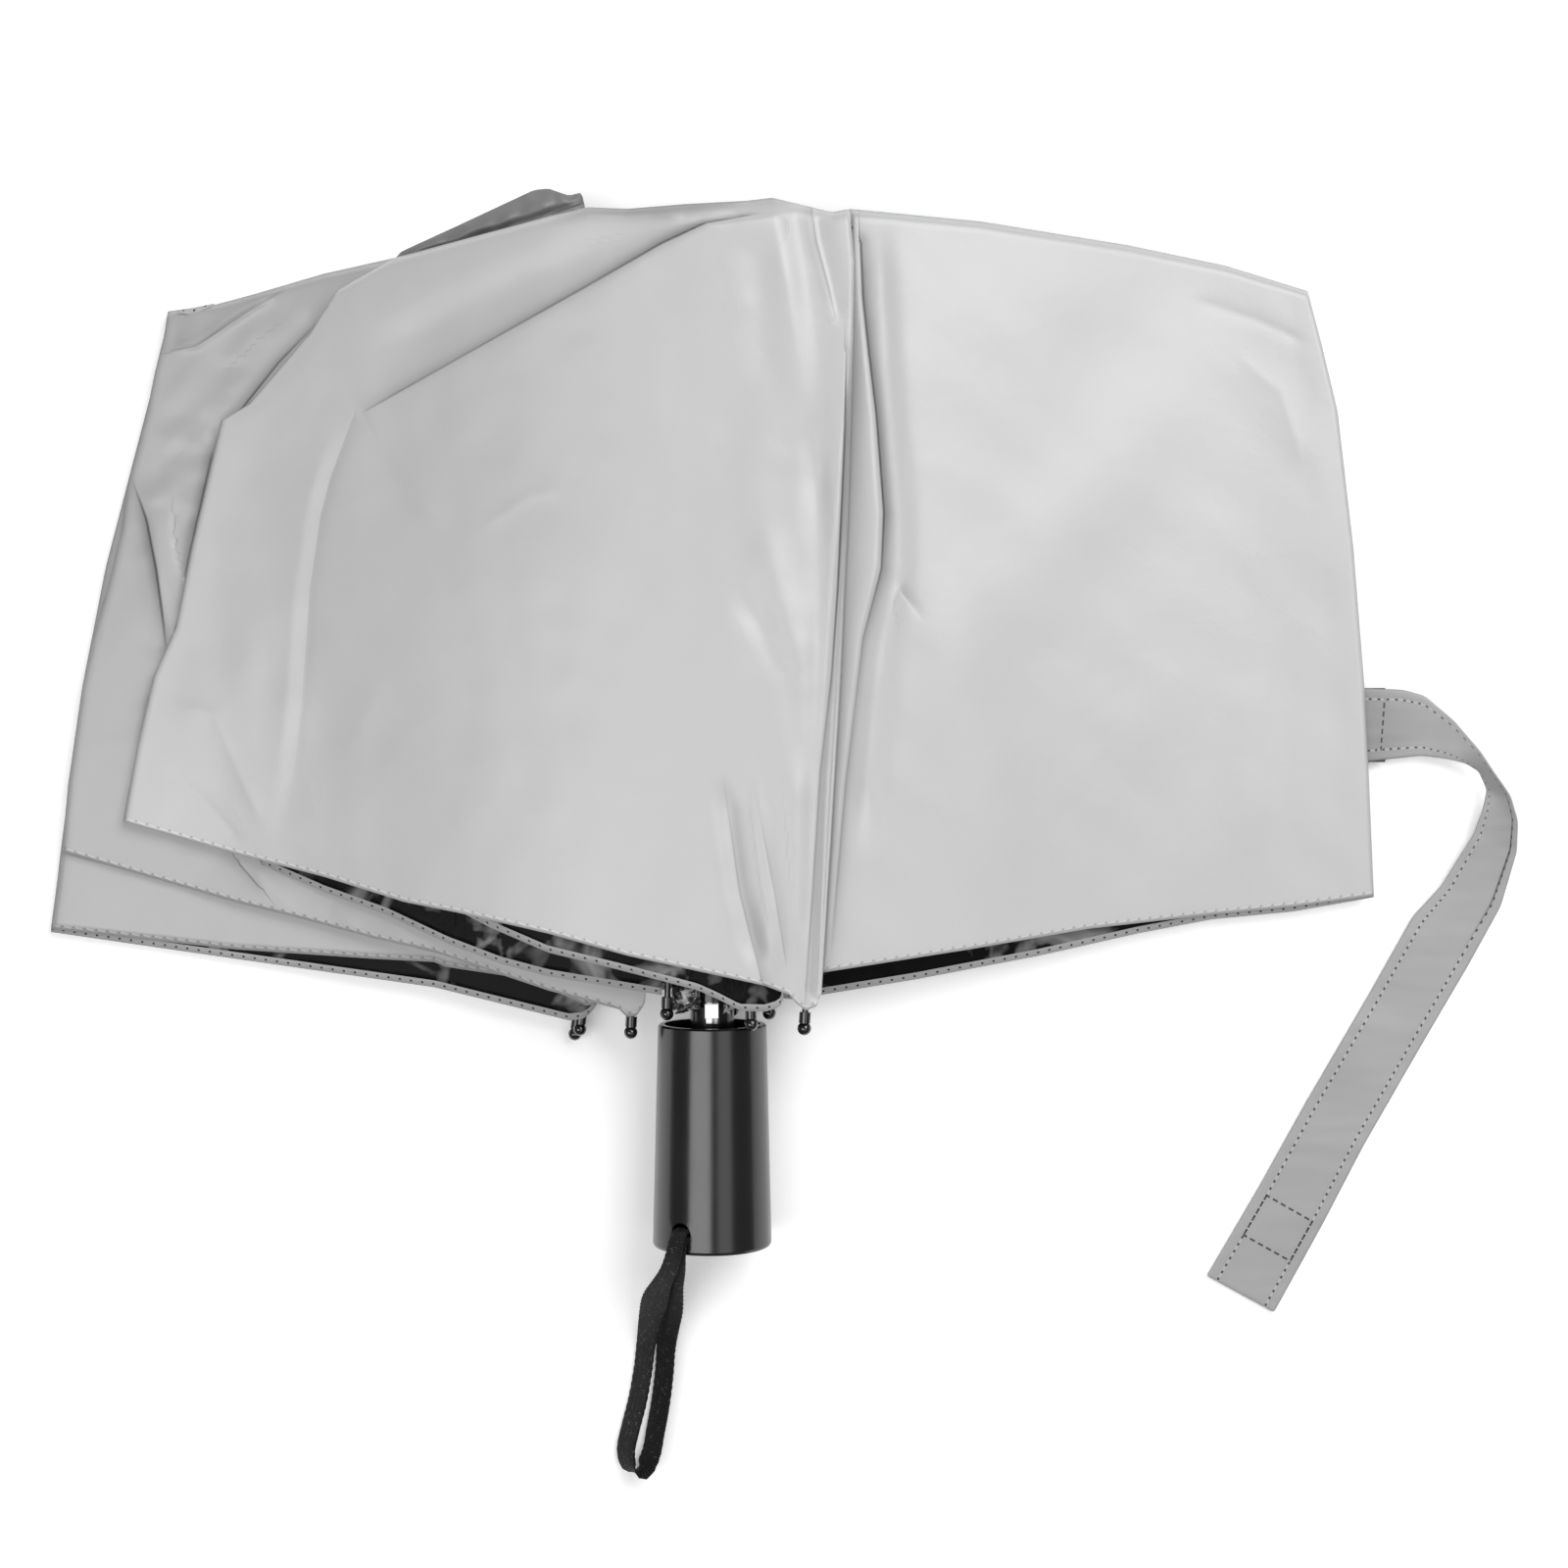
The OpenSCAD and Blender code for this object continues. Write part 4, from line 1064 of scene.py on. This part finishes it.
# %% Rear corner
def corner_shape(u, v):
    low, high = resample(corner_low, u), resample(corner_high, u)
    p = low * (1 - v[:, None]) + high * v[:, None]
    return lift(p, layer_height(-1, 5, p[:, 0]) + 0.9)


corner = cloth_grid("back_corner_inside", 12, 4, corner_shape, True, [inside, inside])
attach(corner, "canopy_pack")

# %% [markdown]
# ## The rib of each layer
# On the real umbrella each seam is tied to a rib, so it swings out when the ribs spread. Each layer keeps
# the rib of its seam side and its half in `cloth`; the two leaves that meet at the long visible seam both
# list the rib on the left of it. Here each layer's placement is baked into its mesh.

# %% Bake each layer's placement
for name, (piece, rib, side) in cloth.items():
    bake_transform(piece)
print("declared", len(cloth), "layers")

# %% [markdown]
# ## Table, light and background
# A white table under soft light. A box above, to the left, gives the bright band on the handle, and a
# weaker one on the right the grey band beside it. The main light stands behind, to the right: the handle
# doesn't mirror it, and the right leaf is the brightest, as in the photo. The table is white where no shadow
# falls.

# %% Table and lights
def white_table():
    mesh = bmesh.new()
    bmesh.ops.create_grid(mesh, x_segments=1, y_segments=1, size=4)
    data = bpy.data.meshes.new("table")
    mesh.to_mesh(data)
    mesh.free()
    table = bpy.data.objects.new("table", data)
    table.location.z = table_z - 0.0001
    f = Finish("white table")
    paper = f.noise(f.place(), 300, 2)
    f.set(Base_Color=f.mix(paper, grey(0.97), grey(1.0)), Roughness=0.85)
    f.surface.inputs["Specular IOR Level"].default_value = 0.1
    f.surface.inputs["Emission Color"].default_value = (1, 1, 1, 1)
    f.surface.inputs["Emission Strength"].default_value = 0.2
    data.materials.append(f.material)
    scene.collection.objects.link(table)


def soft_box(name, place, size, power, aim):
    light = bpy.data.lights.new(name, "AREA")
    light.shape = "RECTANGLE"
    light.size, light.size_y = size
    light.energy = power
    lamp = bpy.data.objects.new(name, light)
    lamp.location = place
    toward = np.array(aim) - np.array(place)
    lamp.rotation_euler = Vector(toward).to_track_quat("-Z", "Y").to_euler()
    scene.collection.objects.link(lamp)


white_table()
soft_box("box above, left", (-0.66, -0.12, 1.35), (1.26, 0.75), 9.6, (-0.66, -0.12, 0))
soft_box("box above, right", (0.72, 0.0, 1.35), (0.85, 1.6), 4.5, (0.72, 0.0, 0))
soft_box("box behind, right", (0.75, 1.05, 1.3), (1.3, 1.0), 19, (0.05, 0.15, 0))
world = bpy.data.worlds.new("studio")
world.use_nodes = True
world.node_tree.nodes["Background"].inputs["Color"].default_value = (1, 1, 1, 1)
world.node_tree.nodes["Background"].inputs["Strength"].default_value = 0.16
scene.world = world
scene.view_settings.view_transform = "Standard"
print("lights ready")
